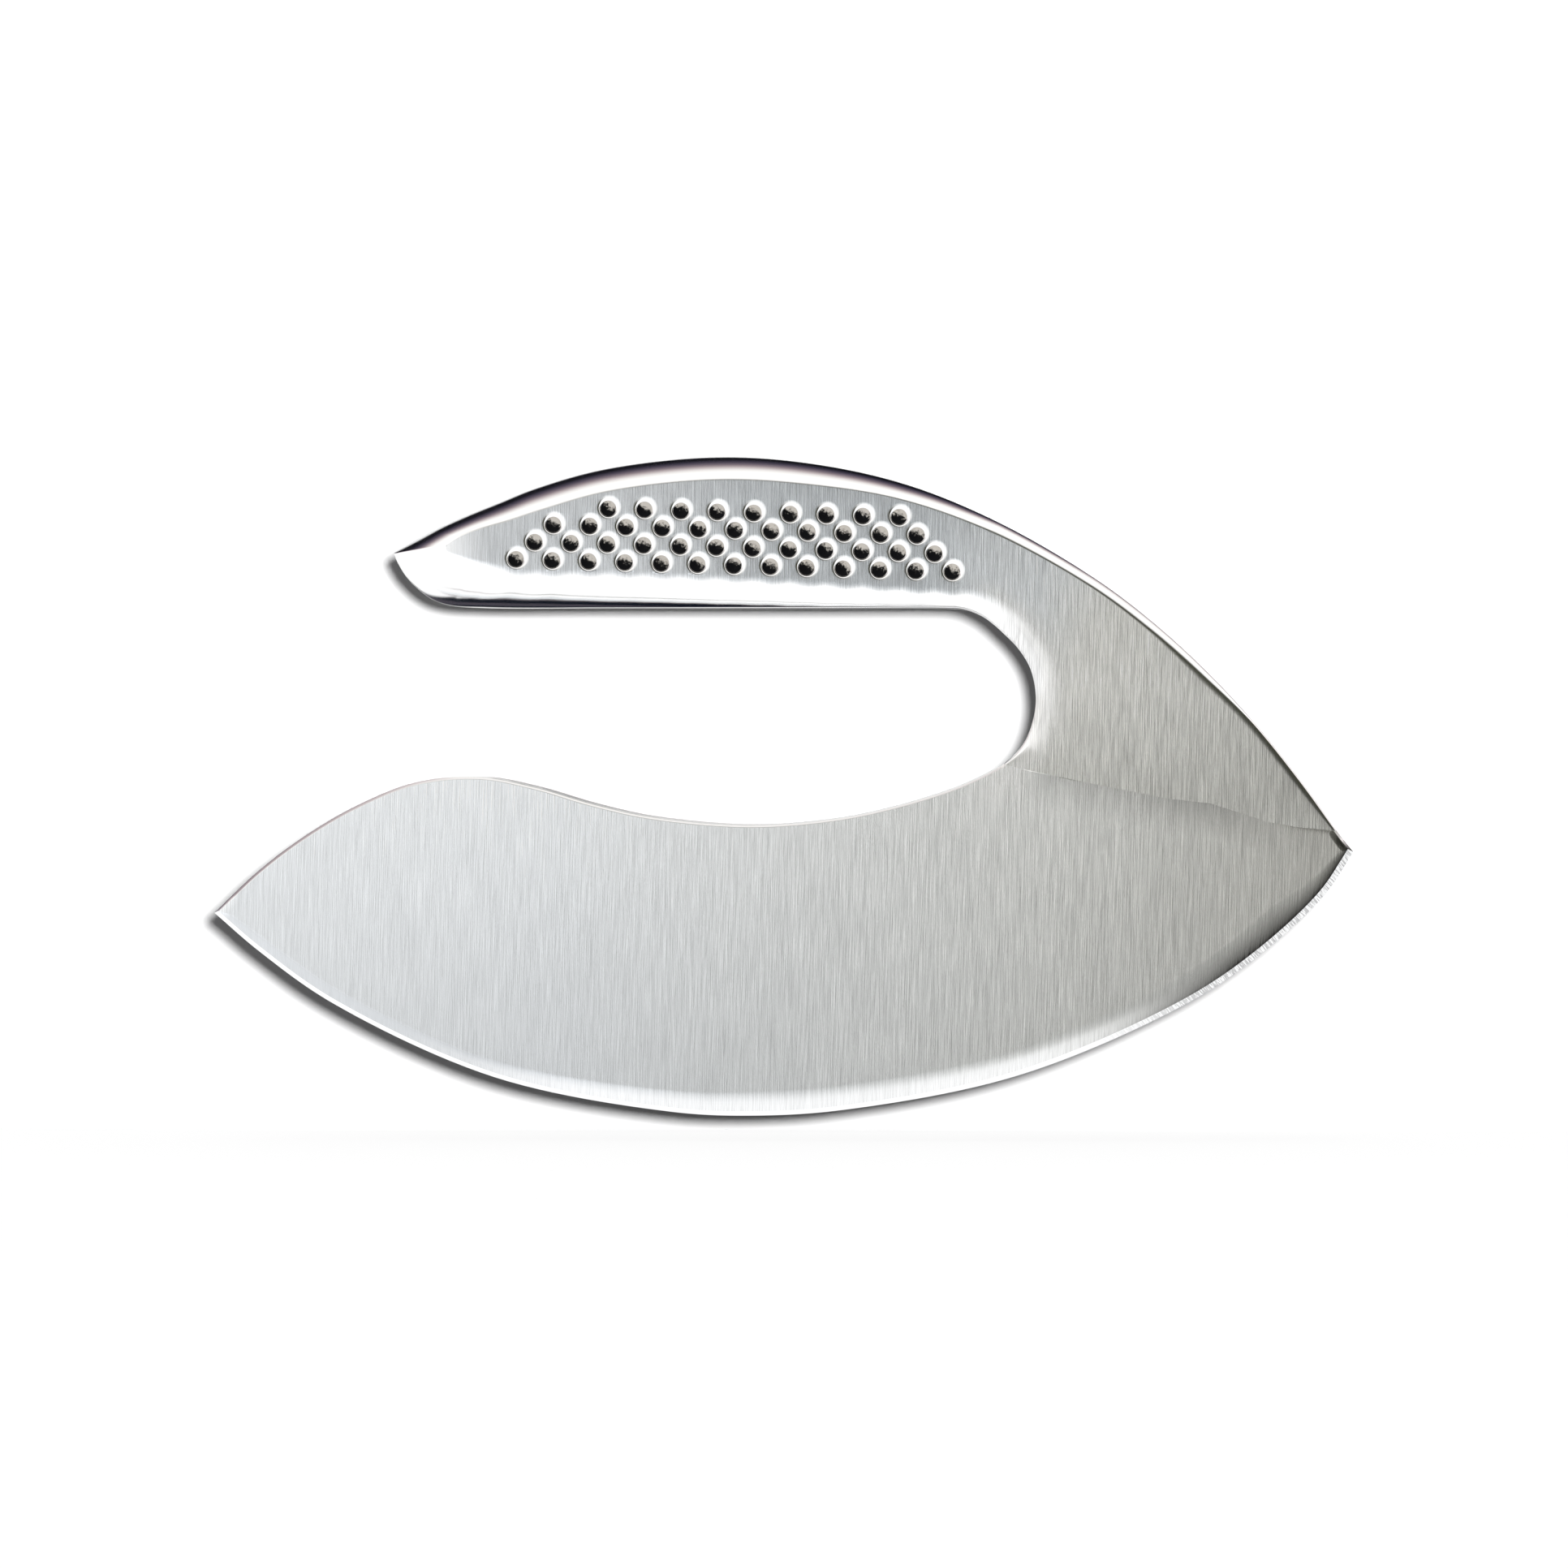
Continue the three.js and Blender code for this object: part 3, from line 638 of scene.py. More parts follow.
def brushed_steel(tree, colour, polish, streaks, contrast, look=None):
    """Brushed steel whose polished roundings, and whose painted shade along the rims, are marked by the
    piece's own attributes.
    """
    marks = grain(tree, *streaks)
    base, polished = colour, attribute(tree, "polish")
    x, _, z = split(tree, object_place(tree))
    if look:
        base, polished = look(tree, base, x, z, marks, polished)
    tone = plus(tree, marks["Streaks"], scaled(tree, marks["Fine"], FINE_SHARE, FINE_SHIFT))
    tone = times(tree, tone, step(tree, x, *CONTRAST_CHANGE, contrast, contrast * 2))
    mottle = calc(tree, "SUBTRACT", marks["Mottle"], 0.5)
    tone = scaled(tree, mottle, MOTTLE_STRENGTH, plus(tree, tone, 1))
    brushed = blend(tree, 1, base, tone, "MULTIPLY")
    ragged = scaled(tree, marks["Streaks"], RAGGED_STRENGTH, RAGGED_BASE)
    # Painted shade: the dark attribute darkens the steel along the rims
    brushed = blend(tree, times(tree, attribute(tree, "dark"), ragged), brushed, RIM_PAINTED_SHADE)
    polished = times(tree, polished, calc(tree, "MAXIMUM", ragged, polished))
    rough = scaled(tree, marks["Fine"], BRUSHED_ROUGH_SPREAD, BRUSHED_ROUGH)
    rough = {0: polished, 2: rough, 3: POLISHED_ROUGH}
    height = plus(tree, marks["Streaks"], times(tree, marks["Fine"], FINE_HEIGHT))
    height = times(tree, height, scaled(tree, polished, -0.8, 1))
    show(tree, "ShaderNodeBsdfPrincipled", {
        "Base Color": blend(tree, polished, brushed, polish), "Metallic": 1,
        "Roughness": put(tree, "ShaderNodeMix", rough, data_type="FLOAT").outputs[0],
        "Anisotropic": 0.5, "Normal": relief(tree, height, BRUSHED_RELIEF),
    })


def handle_look(tree, handle, x, z, marks, polished):
    """Painted light on the handle: polish taking over at the beak as a painted highlight, painted reflection
    tints from the cool grip into the warm neck, painted shade near the neck tip, and the throat's painted
    highlight.
    """
    # Painted reflection tints: the neck brighter higher up, the grip cooler and darker to the right and
    # brighter at its end
    neck = blend(tree, linear(tree, z, *NECK_RISE), NECK_LOW, NECK_HIGH)
    grip = blend(tree, linear(tree, x, *GRIP_CHANGE), handle, GRIP_RIGHT)
    grip = blend(tree, linear(tree, x, *GRIP_END_CHANGE), grip, GRIP_END)
    leaned = scaled(tree, z, NECK_LEAN, plus(tree, x, NECK_SHIFT))
    base = blend(tree, step(tree, leaned, *NECK_CHANGE), grip, neck)
    # Painted shade near the neck tip, by the spine
    spine = step(tree, scaled(tree, z, SPINE_LEAN, x), *SPINE_CHANGE, 0, SPINE_STRENGTH)
    base = blend(tree, spine, base, PAINTED_SHADE_TINT)
    # Painted highlight: the brighter polish takes over at the beak
    ragged = scaled(tree, marks["Streaks"], RAGGED_REACH, x)
    polished = calc(tree, "MAXIMUM", polished, step(tree, ragged, *BEAK_SHINE))
    return throat_glow(tree, x, z, base, polished)


def throat_glow(tree, x, z, base, polished):
    """A painted highlight close around the throat, whose wall is greyer and less polished than the other
    roundings.
    """
    centre = (THROAT_TOP + Vector((0, -THROAT_RADIUS))) * MM
    across, up = calc(tree, "SUBTRACT", x, centre.x), calc(tree, "SUBTRACT", z, centre.y)
    away = calc(tree, "SQRT", scaled(tree, across, across, times(tree, up, up)))
    # Painted highlight round the throat; the wall greyer and less polished
    glow = times(tree, step(tree, away, *GLOW_AWAY), step(tree, across, *GLOW_ACROSS))
    wall = times(tree, step(tree, away, *WALL_AWAY), step(tree, across, *WALL_ACROSS))
    wall = times(tree, wall, step(tree, up, *WALL_UP))
    base = blend(tree, wall, blend(tree, glow, base, THROAT_HIGHLIGHT), THROAT_WALL)
    return base, times(tree, polished, calc(tree, "SUBTRACT", 1, wall))


def blade_look(tree, blade, x, z, marks, polished):
    """Painted light on the blade: painted reflection gradients that darken it towards the neck and the edge,
    and a painted shade band below the weld seam.
    """
    start, end = CORNER * MM, SEAM_END * MM
    share = calc(tree, "DIVIDE", calc(tree, "SUBTRACT", x, start.x), end.x - start.x)
    curve = put(tree, "ShaderNodeFloatCurve", {1: share})
    for point in SEAM[1:-1]:
        curve.mapping.curves[0].points.new(*point)
    curve.mapping.update()
    seam = scaled(tree, curve.outputs[0], end.y - start.y, start.y)
    # Painted shade in a band below the weld seam
    below = linear(tree, calc(tree, "SUBTRACT", seam, z), 0, SEAM_SHADE_DEPTH, 1, 0)
    rising, middle, falling = (step(tree, x, *seam_step) for seam_step in SEAM_SHADE_STEPS)
    band = times(tree, times(tree, below, rising), plus(tree, middle, falling))
    # Painted reflection gradients: darker towards the neck, and towards the edge
    base = blend(tree, linear(tree, x, *BLADE_CHANGE), blade, BLADE_MIDDLE)
    base = blend(tree, linear(tree, x, *BLADE_NECK_CHANGE), base, BLADE_NECK)
    base = blend(tree, 1, base, linear(tree, z, *BLADE_HEIGHT, *BLADE_SHADES), "MULTIPLY")
    base = blend(tree, band, base, PAINTED_SHADE_TINT)
    return throat_glow(tree, x, z, base, polished)


def polished_bevel(tree, colour):
    """The polished bevel, with scratches square to the edge towards the neck tip."""
    marks = grain(tree, *BEVEL_BRUSHING)
    worn = step(tree, split(tree, object_place(tree))[0], *SCRATCHED_BEVEL)
    scratches = times(tree, step(tree, marks["Streaks"], *BEVEL_SCRATCHES), worn)
    show(tree, "ShaderNodeBsdfPrincipled", {
        "Base Color": blend(tree, scratches, colour, SCRATCH_TINT), "Metallic": 1,
        "Roughness": scaled(tree, marks["Fine"], 0.1, 0.1), "Anisotropic": 0.3,
        "Normal": relief(tree, marks["Streaks"], BEVEL_RELIEF),
    })


def dimple_filling(tree, colour):
    """Dark filling of the dimples, worn to grey specks that gather into a painted highlight in its upper
    part.
    """
    where = object_place(tree)
    specks, patches = noise(tree, where, *SPECKS), noise(tree, where, *PATCHES)
    bias = scaled(tree, patches, PATCH_STRENGTH, WEAR_AND_GLINT_SHIFT)
    # The glint attribute gathers the worn specks into a painted highlight at the top
    bias = scaled(tree, attribute(tree, "glint"), GLINT_STRENGTH, bias)
    worn = step(tree, plus(tree, specks, bias), *WEAR_AND_GLINT_CHANGE)
    show(tree, "ShaderNodeBsdfPrincipled", {
        "Base Color": blend(tree, worn, colour, WORN_AND_GLINT_FILLING), "Metallic": 0,
        "Roughness": scaled(tree, worn, 0.2, 0.45), "Specular IOR Level": 0.06,
        "Normal": relief(tree, specks, FILLING_RELIEF),
    })


def loose_sand(tree, colour):
    """Dry sand: grains of mixed tone."""
    where = object_place(tree)
    cells = put(tree, "ShaderNodeTexVoronoi", {"Vector": where, "Scale": 2600}).outputs
    tone = scaled(tree, put(tree, "ShaderNodeSeparateColor", {0: cells["Color"]}).outputs[0], 0.7, 0.6)
    tone = times(tree, tone, scaled(tree, noise(tree, where, *DAMP), 0.3, 0.85))
    height = calc(tree, "SUBTRACT", 1, cells["Distance"])
    show(tree, "ShaderNodeBsdfPrincipled", {
        "Base Color": blend(tree, 1, colour, tone, "MULTIPLY"), "Metallic": 0, "Roughness": 0.92,
        "Normal": relief(tree, height, SAND_RELIEF),
    })


def backdrop_paper(tree):
    """White paper behind the object, which takes its drop shadow and is clear from behind."""
    paper = put(tree, "ShaderNodeBsdfDiffuse", {0: (0.95, 0.95, 0.95)}).outputs[0]
    clear = put(tree, "ShaderNodeBsdfTransparent").outputs[0]
    side = put(tree, "ShaderNodeNewGeometry").outputs["Backfacing"]
    show(tree, "ShaderNodeMixShader", {0: side, 1: paper, 2: clear})


def floor_paper(tree):
    """Pale floor that stays white to the eye and keeps a soft shadow."""
    path = put(tree, "ShaderNodeLightPath").outputs
    tone = blend(tree, path["Is Diffuse Ray"], (0.93, 0.93, 0.93), (0.1, 0.1, 0.1))
    paper = put(tree, "ShaderNodeBsdfDiffuse", {0: tone}).outputs[0]
    white = put(tree, "ShaderNodeEmission", {0: (1, 1, 1)}).outputs[0]
    seen = calc(tree, "MAXIMUM", path["Is Camera Ray"], path["Is Transmission Ray"])
    seen = calc(tree, "MAXIMUM", seen, path["Is Glossy Ray"])
    seen = times(tree, seen, calc(tree, "LESS_THAN", path["Diffuse Depth"], 0.5))
    show(tree, "ShaderNodeMixShader", {0: times(tree, seen, 0.94), 1: paper, 2: white})


# What makes each finish, with colours of the panel by name. Steels have streaks per metre across and
# down, their lean, and their contrast
FINISHES = {
    "brushed_blade": (brushed_steel, "blade", "polish", (8500, 130, 0.03), 0.6, blade_look),
    "brushed_handle": (brushed_steel, "handle", "polish", (8500, 165, 0.02), 0.7, handle_look),
    "brushed_floor": (brushed_steel, "handle", "polish", (3000, 700, 0), 0.25),
    "polished_bevel": (polished_bevel, "polish"),
    "dimple_filling": (dimple_filling, "dimple_paint"),
    "dry_sand": (loose_sand, "sand"),
    "backdrop_paper": (backdrop_paper,),
    "floor_paper": (floor_paper,),
}


def finish_of(name):
    """A finish by name, built once."""
    found = bpy.data.materials.get(name)
    if found:
        return found
    material = bpy.data.materials.new(name)
    material.use_nodes = True
    material.node_tree.nodes.clear()
    colours = bpy.context.scene.mezzaluna_finish
    make, *inputs = FINISHES[name]
    make(material.node_tree, *(getattr(colours, item) if isinstance(item, str) else item for item in inputs))
    return material


# Handle

def dimple_centres(sizes):
    """Centres of the dimples on the face, in millimetres, row by row."""
    turn = Matrix.Rotation(DIMPLE_TILT, 2)
    along_row, down = turn @ Vector((1, 0)), turn @ Vector((0, -1))
    pitch, spacing = sizes.dimple_pitch / MM, sizes.row_spacing / MM
    return [
        DIMPLE_START + along_row * (i + half / 2) * pitch + down * row * spacing
        for row, (count, half) in enumerate(zip(DIMPLE_COUNTS, DIMPLE_HALF_PITCHES)) for i in range(count)
    ]


def add_dimples(bm, sizes, polish, glint):
    """Spins one dimple from its profile and copies it to every place. Gives the edges of their mouths."""
    radius, depth = sizes.dimple_radius / MM, sizes.dimple_depth / MM
    lip = DIMPLE_PROFILE[0][0]
    first = []
    for share, sunk in DIMPLE_PROFILE:
        first.append(bm.verts.new((share * radius * MM, (depth * sunk - HALF_WIDTH) * MM, 0)))
        first[-1][polish] = clamp((lip - share) / LIP_POLISH)
    bmesh.ops.spin(
        bm, geom=first + draw_chain(bm, first), cent=(0, 0, 0), axis=(0, 1, 0), angle=math.tau,
        steps=DIMPLE_SIDES, use_merge=True,
    )
    bmesh.ops.remove_doubles(bm, verts=[v for v in bm.verts if v.co.x**2 + v.co.z**2 < 1e-9], dist=1e-6)
    for face in bm.faces:
        centre = face.calc_center_median()
        face.material_index = int(math.hypot(centre.x, centre.z) < FILLING_START * radius * MM)
    for vert in bm.verts:
        x, _, z = vert.co
        # The glint attribute places the filling's painted highlight towards the upper right
        vert[glint] = 0.5 + (GLINT_WAY.x * x + GLINT_WAY.y * z) / (GLINT_REACH * radius * MM)
        lean = DIMPLE_LEAN * MM * clamp((LEAN_START - math.hypot(x, z) / radius / MM) / LEAN_RUN)
        vert.co += Vector((lean.x, 0, lean.y))
    source = [*bm.verts, *bm.edges, *bm.faces]
    own, *others = dimple_centres(sizes)
    copies = [(bmesh.ops.duplicate(bm, geom=source)["geom"], centre) for centre in others]
    for geometry, centre in [*copies, (source, own)]:
        verts = [part for part in geometry if isinstance(part, bmesh.types.BMVert)]
        bmesh.ops.translate(bm, verts=verts, vec=(centre.x * MM, 0, centre.y * MM))
    return [edge for edge in bm.edges if len(edge.link_faces) == 1]


def handle_shell_mesh(sizes, steps):
    """The pressed front half of the handle: inner wall, flange at the middle plane, rounding and face."""
    bm = bmesh.new()
    polish = bm.verts.layers.float.new("polish")
    glint = bm.verts.layers.float.new("glint")
    dark = bm.verts.layers.float.new("dark")
    mouths = add_dimples(bm, sizes, polish, glint)
    wall = sizes.wall / MM
    stations = handle_stations(steps)

    def row(share, distance):
        spots = []
        for silhouette, rim, (end, start, flat, _, dip) in stations:
            end, start = math.radians(end), math.radians(start)
            angle = start + (end - start) * max(0, share)
            inset = rim - silhouette
            across = (math.cos(start) - math.cos(angle)) / (math.cos(start) - math.cos(end))
            rise = (math.sin(angle) - math.sin(start)) / (math.sin(end) - math.sin(start))
            depth = flat * min(1, 1 + share) + (HALF_WIDTH - flat - dip - beak_drop(rim.x)) * rise
            spot = silhouette + inset * across + inset.normalized() * distance
            spots.append(place(spot, -depth * (1 - distance / HALF_WIDTH)))
        return spots

    def roll(share):
        spots = []
        last = len(stations) - 1
        for i, (silhouette, rim, (_, _, _, width, dip)) in enumerate(stations):
            way = (stations[min(i + 1, last)][1] - stations[max(i - 1, 0)][1]).normalized()
            inward = (rim - silhouette).normalized() if i in (0, last) else Vector((way.y, -way.x))
            spot = rim + inward * width * share
            spots.append(place(spot, dip * (1 - share) ** 2 + beak_drop(spot.x) - HALF_WIDTH))
        return spots

    rows = [row(share, wall) for share in INNER_ROWS]
    rows += [row(share, 0) for share in OUTER_ROWS]
    rows += [roll(share) for share in ROLL_ROWS]
    swept = sweep_rows(bm, rows)
    inner_rim, outer_rim = swept[0], swept[-1]
    rounded = len(INNER_ROWS) + len(OUTER_ROWS)
    for verts, share in zip(swept, [0] * rounded + ROLL_ROWS):
        for vert in verts:
            vert[polish] = (1 - share) ** 2
    # Painted shade along the spine towards the neck tip, kept in the dark attribute
    start, run, most = SPINE_PAINTED_SHADE
    for verts, share in zip(swept[rounded - 1:], [0, *ROLL_ROWS]):
        for vert in verts:
            vert[dark] = most * (1 - share) * clamp((vert.co.x / MM - start) / run)

    def seam_chain(depth):
        return [bm.verts.new(place(point, -depth)) for point in SEAM_POINTS[1:-1]]

    outer_seam, inner_seam = seam_chain(HALF_WIDTH), seam_chain(HALF_WIDTH - wall)
    outer_cut = draw_chain(bm, [outer_rim[0], *outer_seam, outer_rim[-1]])
    inner_cut = draw_chain(bm, [inner_rim[0], *inner_seam, inner_rim[-1]])
    fill_between(bm, draw_chain(bm, outer_rim) + outer_cut + mouths, (0, -1, 0))
    fill_between(bm, draw_chain(bm, inner_rim) + inner_cut, (0, 1, 0))
    inside, outside = swept[:len(INNER_ROWS)], swept[len(INNER_ROWS):]
    for end in (0, -1):
        inner_cut += draw_chain(bm, [verts[end] for verts in inside])
        outer_cut += draw_chain(bm, [verts[end] for verts in outside])
    for edge in outer_cut + inner_cut:
        edge.smooth = False
    bmesh.ops.bridge_loops(bm, edges=outer_cut + inner_cut)
    return bm


class MEZZALUNA_OT_handle(bpy.types.Operator):
    """Build both halves of the hollow handle with their dimples"""

    bl_idname = "mezzaluna.handle"
    bl_label = "Build handle"

    def execute(self, context):
        sizes = context.scene.mezzaluna_sizes
        materials = [finish_of("brushed_handle"), finish_of("dimple_filling")]
        for side in ("front", "rear"):
            bm = handle_shell_mesh(sizes, HANDLE_STEPS)
            if side == "rear":
                bmesh.ops.scale(bm, vec=(1, -1, 1), verts=bm.verts)
            finish_piece(bm, f"{side}_handle", materials, "handle_steel", f"{side}_handle_shell")
        return {"FINISHED"}


# Blades

def blade_outline(steps):
    """Stations round the blade: places, and the kind of rim there, which is none at a corner."""
    # Stations that would crowd the corners are left out, so that the rows keep apart there
    def clear(points, start, end, room):
        return [p for p in points if (p - start).length > room[0] and (p - end).length > room[1]]

    edge = clear(smooth(EDGE_POINTS, steps), FREE_TIP, NECK_TIP, EDGE_ROOM)
    tail = clear(smooth(SPINE_POINTS, TAIL_STEPS)[-TAIL_STEPS:-1][::-1], NECK_TIP, SEAM_END, TAIL_ROOM)
    back = clear(smooth(BACK_POINTS, BACK_STEPS)[1:-1][::-1], FREE_TIP, CORNER, BACK_ROOM)
    runs = [("edge", edge), ("tail", tail), ("seam", SEAM_POINTS[::-1][1:-1]), ("back", back)]
    corners = [FREE_TIP, NECK_TIP, SEAM_END, CORNER]
    stations = []
    for corner, (kind, points) in zip(corners, runs):
        stations += [(corner, None), *((point, kind) for point in points)]
    return stations


def rim_rows(kind, x, sizes):
    """How far in from the outline, and how thick the half plate is, for each row of one kind of rim."""
    if kind == "edge":
        tables = BEVEL_WIDTHS, GRIND_WIDTHS, BEVEL_HALVES, EDGE_HALVES
        bevel, grind, half, low = (along(table, x) for table in tables)
        rise = [(bevel + grind * share, 1 - (1 - half) * (1 - share) ** GRIND_POWER) for share in GRIND_ROWS]
        return [(0, 0), (0, low), (bevel, half), *rise, (bevel + grind + GRIND_MARGIN, 1)]
    if kind == "seam":
        return SEAM_RIM
    if kind == "tail":
        return TAIL_RIM
    chamfer = sizes.chamfer / MM
    run, drop = CHAMFER_TURN
    flat = [(chamfer + margin, 1) for margin in CHAMFER_MARGINS]
    return [(0, 0), (0, 1 - chamfer), (chamfer * run, 1 - chamfer * drop), (chamfer, 1), *flat]


def blade_mesh(sizes, steps):
    """One blade on its own middle plane: its rim rows from the middle plane to the flat, then the flat."""
    stations = blade_outline(steps)
    count = len(stations)
    rows = []
    for level in range(len(SEAM_RIM)):
        spots = []
        for i, (point, kind) in enumerate(stations):
            before, after = stations[i - 1], stations[(i + 1) % count]
            into = (point - before[0]).normalized()
            out_of = (after[0] - point).normalized()
            if kind:
                run, half = rim_rows(kind, point.x, sizes)[level]
                way = (into + out_of).normalized()
                spot = point + Vector((-way.y, way.x)) * run
            else:
                run_in, half_in = rim_rows(before[1], point.x, sizes)[level]
                run_out, half_out = rim_rows(after[1], point.x, sizes)[level]
                turn = into.x * out_of.y - into.y * out_of.x
                spot = point + (out_of * run_in - into * run_out) / turn
                half = min(half_in, half_out)
            spots.append(place(spot, -half))
        rows.append(spots)
    bm = bmesh.new()
    polish = bm.verts.layers.float.new("polish")
    dark = bm.verts.layers.float.new("dark")
    swept = sweep_rows(bm, rows, closed=True)
    left, left_run, right, right_run = EDGE_POLISH
    # Painted shade along the edge and the tail towards the neck tip and at the free tip, kept in the dark
    # attribute
    dark_start, dark_run = EDGE_PAINTED_SHADE
    tip_start, tip_run, tip_most = TIP_PAINTED_SHADE
    for level, verts in enumerate(swept):
        fade = 1 - max(0, level - PAINTED_SHADE_ROWS[0]) / PAINTED_SHADE_ROWS[1]
        for vert, (point, kind) in zip(verts, stations):
            rows_left = max(0, POLISHED_ROWS.get(kind, 0) - level)
            vert[polish] = min(1, rows_left)
            if kind == "edge":
                reach = clamp((point.x - left) / left_run, (right - point.x) / right_run)
                vert[polish] = min(EDGE_POLISH_MOST, EDGE_POLISH_STEP * rows_left) * reach
            if kind == "tail":
                vert[dark] = fade
            elif kind == "edge" or point == NECK_TIP:
                if point.x > 0:
                    vert[dark] = clamp((point.x - dark_start) / dark_run) * fade**EDGE_PAINTED_SHADE_POWER
                elif level < len(swept) - 1:
                    vert[dark] = tip_most * clamp((tip_start - point.x) / tip_run)
    fill_between(bm, draw_chain(bm, swept[-1], closed=True), (0, -1, 0))
    for i, (_, kind) in enumerate(stations):
        following = (i + 1) % count
        kinds = {kind, stations[following][1]}
        outer, second, third, fourth = (bm.edges.get((row[i], row[following])) for row in swept[:4])
        second.smooth = False
        third.smooth = "back" in kinds
        fourth.smooth = bool(kinds & {"edge", "tail"})
        if "edge" in kinds:
            outer.smooth = False
            for face in {*outer.link_faces, *second.link_faces}:
                face.material_index = 1
        if not kind:
            for low, high in zip(swept, swept[1:]):
                bm.edges.get((low[i], high[i])).smooth = False
    bmesh.ops.mirror(bm, geom=list(bm.verts) + list(bm.edges) + list(bm.faces), axis="Y", merge_dist=1e-7)
    return bm


class MEZZALUNA_OT_blades(bpy.types.Operator):
    """Build the two crescent blades"""

    bl_idname = "mezzaluna.blades"
    bl_label = "Build blades"

    def execute(self, context):
        sizes = context.scene.mezzaluna_sizes
        materials = [finish_of("brushed_blade"), finish_of("polished_bevel")]
        middle = (HALF_GAP + HALF_WIDTH) / 2 * MM
        for side, y in (("front", -middle), ("rear", middle)):
            bm = blade_mesh(sizes, EDGE_STEPS)
            bmesh.ops.translate(bm, verts=bm.verts, vec=(0, y, 0))
            finish_piece(bm, f"{side}_crescent", materials, "blade_steel", f"{side}_blade")
        return {"FINISHED"}


# CAD pieces that are kept

class MEZZALUNA_OT_inside(bpy.types.Operator):
    """Finish the neck floor and the sand, which keep their solids"""

    bl_idname = "mezzaluna.inside"
    bl_label = "Finish neck floor and sand"

    def execute(self, context):
        for node, name in (("neck_floor", "brushed_floor"), ("sand_fill", "dry_sand")):
            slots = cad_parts[node].material_slots
            if not slots:
                raise RuntimeError(f"{node} has no material slot")
            slots[0].material = finish_of(name)
        return {"FINISHED"}


# Studio

def studio_world():
    """White for the camera, soft and even for matt surfaces, a white room with dark cards for gloss."""
    world = bpy.data.worlds.new("studio")
    bpy.context.scene.world = world
    world.use_nodes = True
    world.cycles.sampling_method = "NONE"
    tree = world.node_tree
    tree.nodes.clear()
    x, y, z = split(tree, put(tree, "ShaderNodeTexCoord").outputs["Generated"])
    # The dark card stands up and to the right of the camera
    lean = plus(tree, scaled(tree, z, CARD_LEAN, x), CARD_SHIFT)
    card = step(tree, lean, *CARD_EDGE)
    for axis, start, end in CARD_FADES:
        card = times(tree, card, step(tree, y if axis == "y" else z, start, end))
    # Behind the object the room falls off to dark, above slowly and below at once
    left = calc(tree, "MAXIMUM", times(tree, x, -1), 0)
    turned = times(tree, left, step(tree, z, *ROOM_TURN))
    turned = scaled(tree, turned, ROOM_TURN_SHARE, plus(tree, y, ROOM_SHIFT))
    turned = scaled(tree, turned, 1 / ROOM_SPAN, ROOM_START / ROOM_SPAN)
    above = put(tree, "ShaderNodeValToRGB", {0: turned})
    stops = above.color_ramp.elements
    stops.remove(stops[1])
    for spot, shade in ROOM_ABOVE:
        stop = stops.new(spot) if spot else stops[0]
        stop.color = (*shade, 1)
    dark, dim, white = LOWER_TINTS
    strip = times(tree, *(step(tree, y, *edge) for edge in LOWER_STRIP))
    near, far = (scaled(tree, left, *edge) for edge in LOWER_EDGES)
    below = blend(tree, step(tree, y, near, far), white, blend(tree, strip, dark, dim))
    room = blend(tree, step(tree, z, *ROOM_SPLIT), below, above.outputs[0])
    # A level band behind the object keeps its rear side bright
    level = scaled(tree, calc(tree, "ABSOLUTE", x), REAR_BAND_LEAN, calc(tree, "ABSOLUTE", z))
    band = times(tree, step(tree, y, *REAR_BAND_START), step(tree, level, *REAR_BAND_EDGE))
    room = blend(tree, times(tree, band, REAR_BAND_STRENGTH), room, REAR_BAND)
    shown = blend(tree, card, room, CARD_TINT)
    lit = put(tree, "ShaderNodeVectorMath", {0: shown, 3: ROOM_LEVEL}, operation="SCALE").outputs[0]
    path = put(tree, "ShaderNodeLightPath").outputs
    seen = calc(tree, "MAXIMUM", path["Is Camera Ray"], path["Is Transmission Ray"])
    # The paper's shadow isn't filled by what the steel mirrors
    gloss = times(tree, path["Is Glossy Ray"], calc(tree, "LESS_THAN", path["Diffuse Depth"], 0.5))
    matt = blend(tree, gloss, MATT_TINT, lit)
    background = put(tree, "ShaderNodeBackground", {0: blend(tree, seen, matt, (1, 1, 1))})
    put(tree, "ShaderNodeOutputWorld", {0: background.outputs[0]})


def stage_plane(name, corners):
    """A flat piece of the studio in its paper."""
    bm = bmesh.new()
    bm.faces.new([bm.verts.new(corner) for corner in corners])
    plane = mesh_object(bm, name, [finish_of(f"{name}_paper")])
    plane.visible_glossy = False


def add_lamp(name, kind, spot, target, **settings):
    """A soft lamp. Gloss shows the room and not the lamp."""
    lamp = bpy.data.lights.new(name, kind)
    for key, value in settings.items():
        setattr(lamp, key, value)
    holder = add_object(name, lamp)
    holder.location = spot
    holder.rotation_euler = (Vector(spot) - Vector(target)).to_track_quat("Z", "Y").to_euler()
    holder.visible_glossy = False


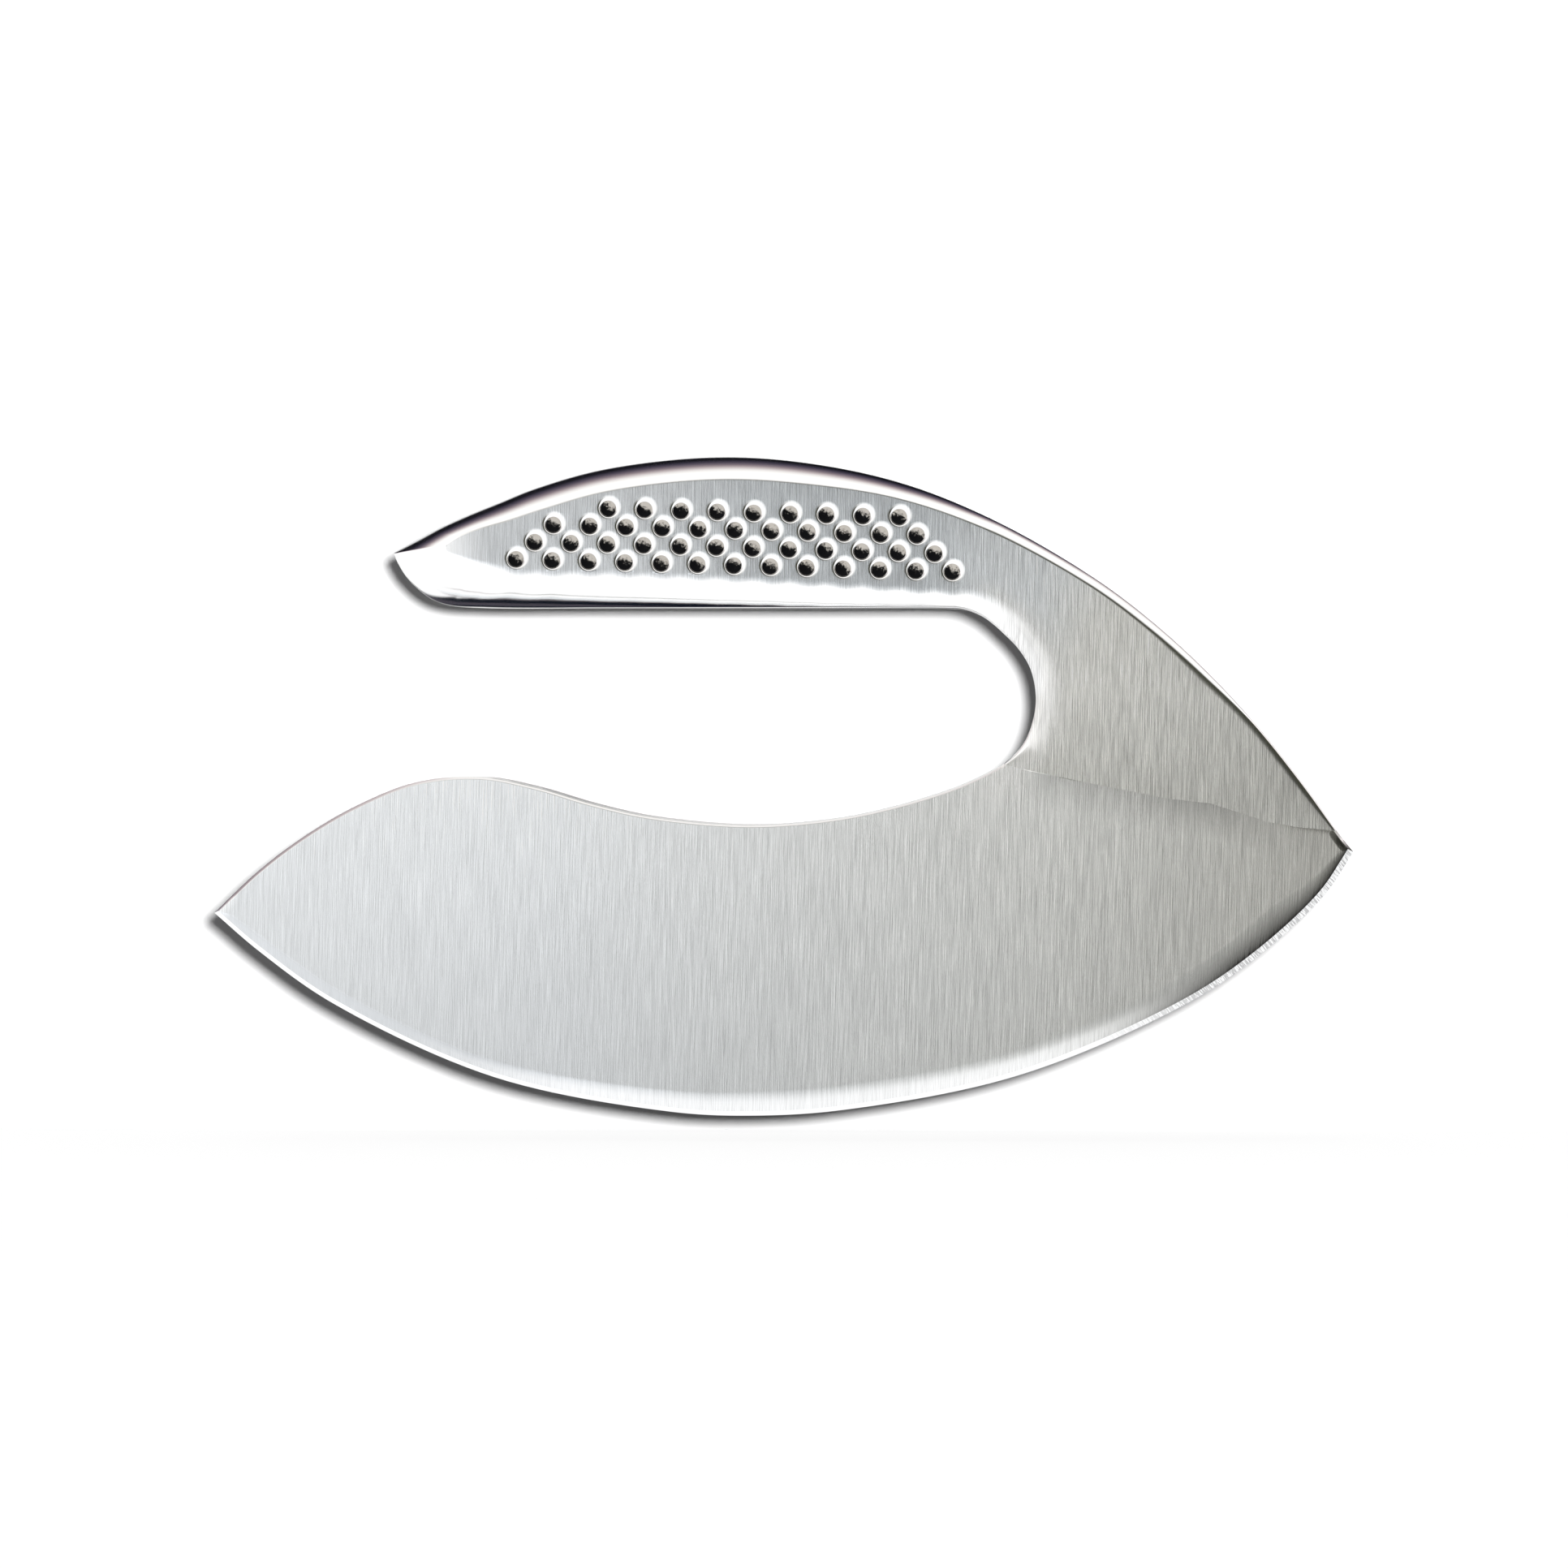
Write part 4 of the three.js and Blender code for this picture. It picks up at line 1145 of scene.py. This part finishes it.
class MEZZALUNA_OT_studio(bpy.types.Operator):
    """Set up the camera, the room, the lamps, the floor and the backdrop"""

    bl_idname = "mezzaluna.studio"
    bl_label = "Set up studio"

    def execute(self, context):
        scene = context.scene
        scene.view_settings.view_transform = "Standard"
        lens = bpy.data.cameras.new("studio_camera")
        lens.sensor_width = 36
        lens.lens = LENS_LENGTH
        lens.clip_start = 0.01
        camera = add_object("studio_camera", lens)
        camera.location = CAMERA_PLACE
        camera.rotation_euler = (CAMERA_TARGET - CAMERA_PLACE).to_track_quat("-Z", "Y").to_euler()
        scene.camera = camera
        studio_world()
        wide, behind, below, far = BACKDROP_REACH, BACKDROP_BEHIND, FLOOR_HEIGHT, FLOOR_REACH
        outline = [(wide, wide), (-wide, wide), (-wide, below), (wide, below)]
        backdrop = [(x, behind, z) for x, z in outline]
        stage_plane("backdrop", backdrop)
        floor = [(-far, -far, below), (far, -far, below), (far, far, below), (-far, far, below)]
        stage_plane("floor", floor)
        add_lamp("key_lamp", "POINT", KEY_LAMP_PLACE, CAMERA_TARGET, energy=64, shadow_soft_size=0.0375)
        add_lamp("top_lamp", "SUN", (0, 0, 1), (0, 0, 0), energy=2, angle=math.radians(30))
        return {"FINISHED"}


class MEZZALUNA_PT_panel(bpy.types.Panel):
    """Sizes, colours and steps of the double mezzaluna"""

    bl_idname = "MEZZALUNA_PT_panel"
    bl_label = "Double mezzaluna"
    bl_space_type = "VIEW_3D"
    bl_region_type = "UI"
    bl_category = "Mezzaluna"

    def draw(self, context):
        for group in (context.scene.mezzaluna_sizes, context.scene.mezzaluna_finish):
            box = self.layout.box()
            for name in group.__annotations__:
                box.prop(group, name)
        for operator in STEPS:
            self.layout.operator(operator.bl_idname)


STEPS = (MEZZALUNA_OT_studio, MEZZALUNA_OT_blades, MEZZALUNA_OT_handle, MEZZALUNA_OT_inside)
CLASSES = (MezzalunaSizes, MezzalunaFinish, *STEPS, MEZZALUNA_PT_panel)


def register():
    for item in CLASSES:
        bpy.utils.register_class(item)
    bpy.types.Scene.mezzaluna_sizes = PointerProperty(type=MezzalunaSizes)
    bpy.types.Scene.mezzaluna_finish = PointerProperty(type=MezzalunaFinish)


def unregister():
    del bpy.types.Scene.mezzaluna_finish
    del bpy.types.Scene.mezzaluna_sizes
    for item in reversed(CLASSES):
        bpy.utils.unregister_class(item)


def main():
    register()
    bpy.ops.mezzaluna.studio()
    bpy.ops.mezzaluna.blades()
    bpy.ops.mezzaluna.handle()
    bpy.ops.mezzaluna.inside()


if __name__ == "__main__":
    main()
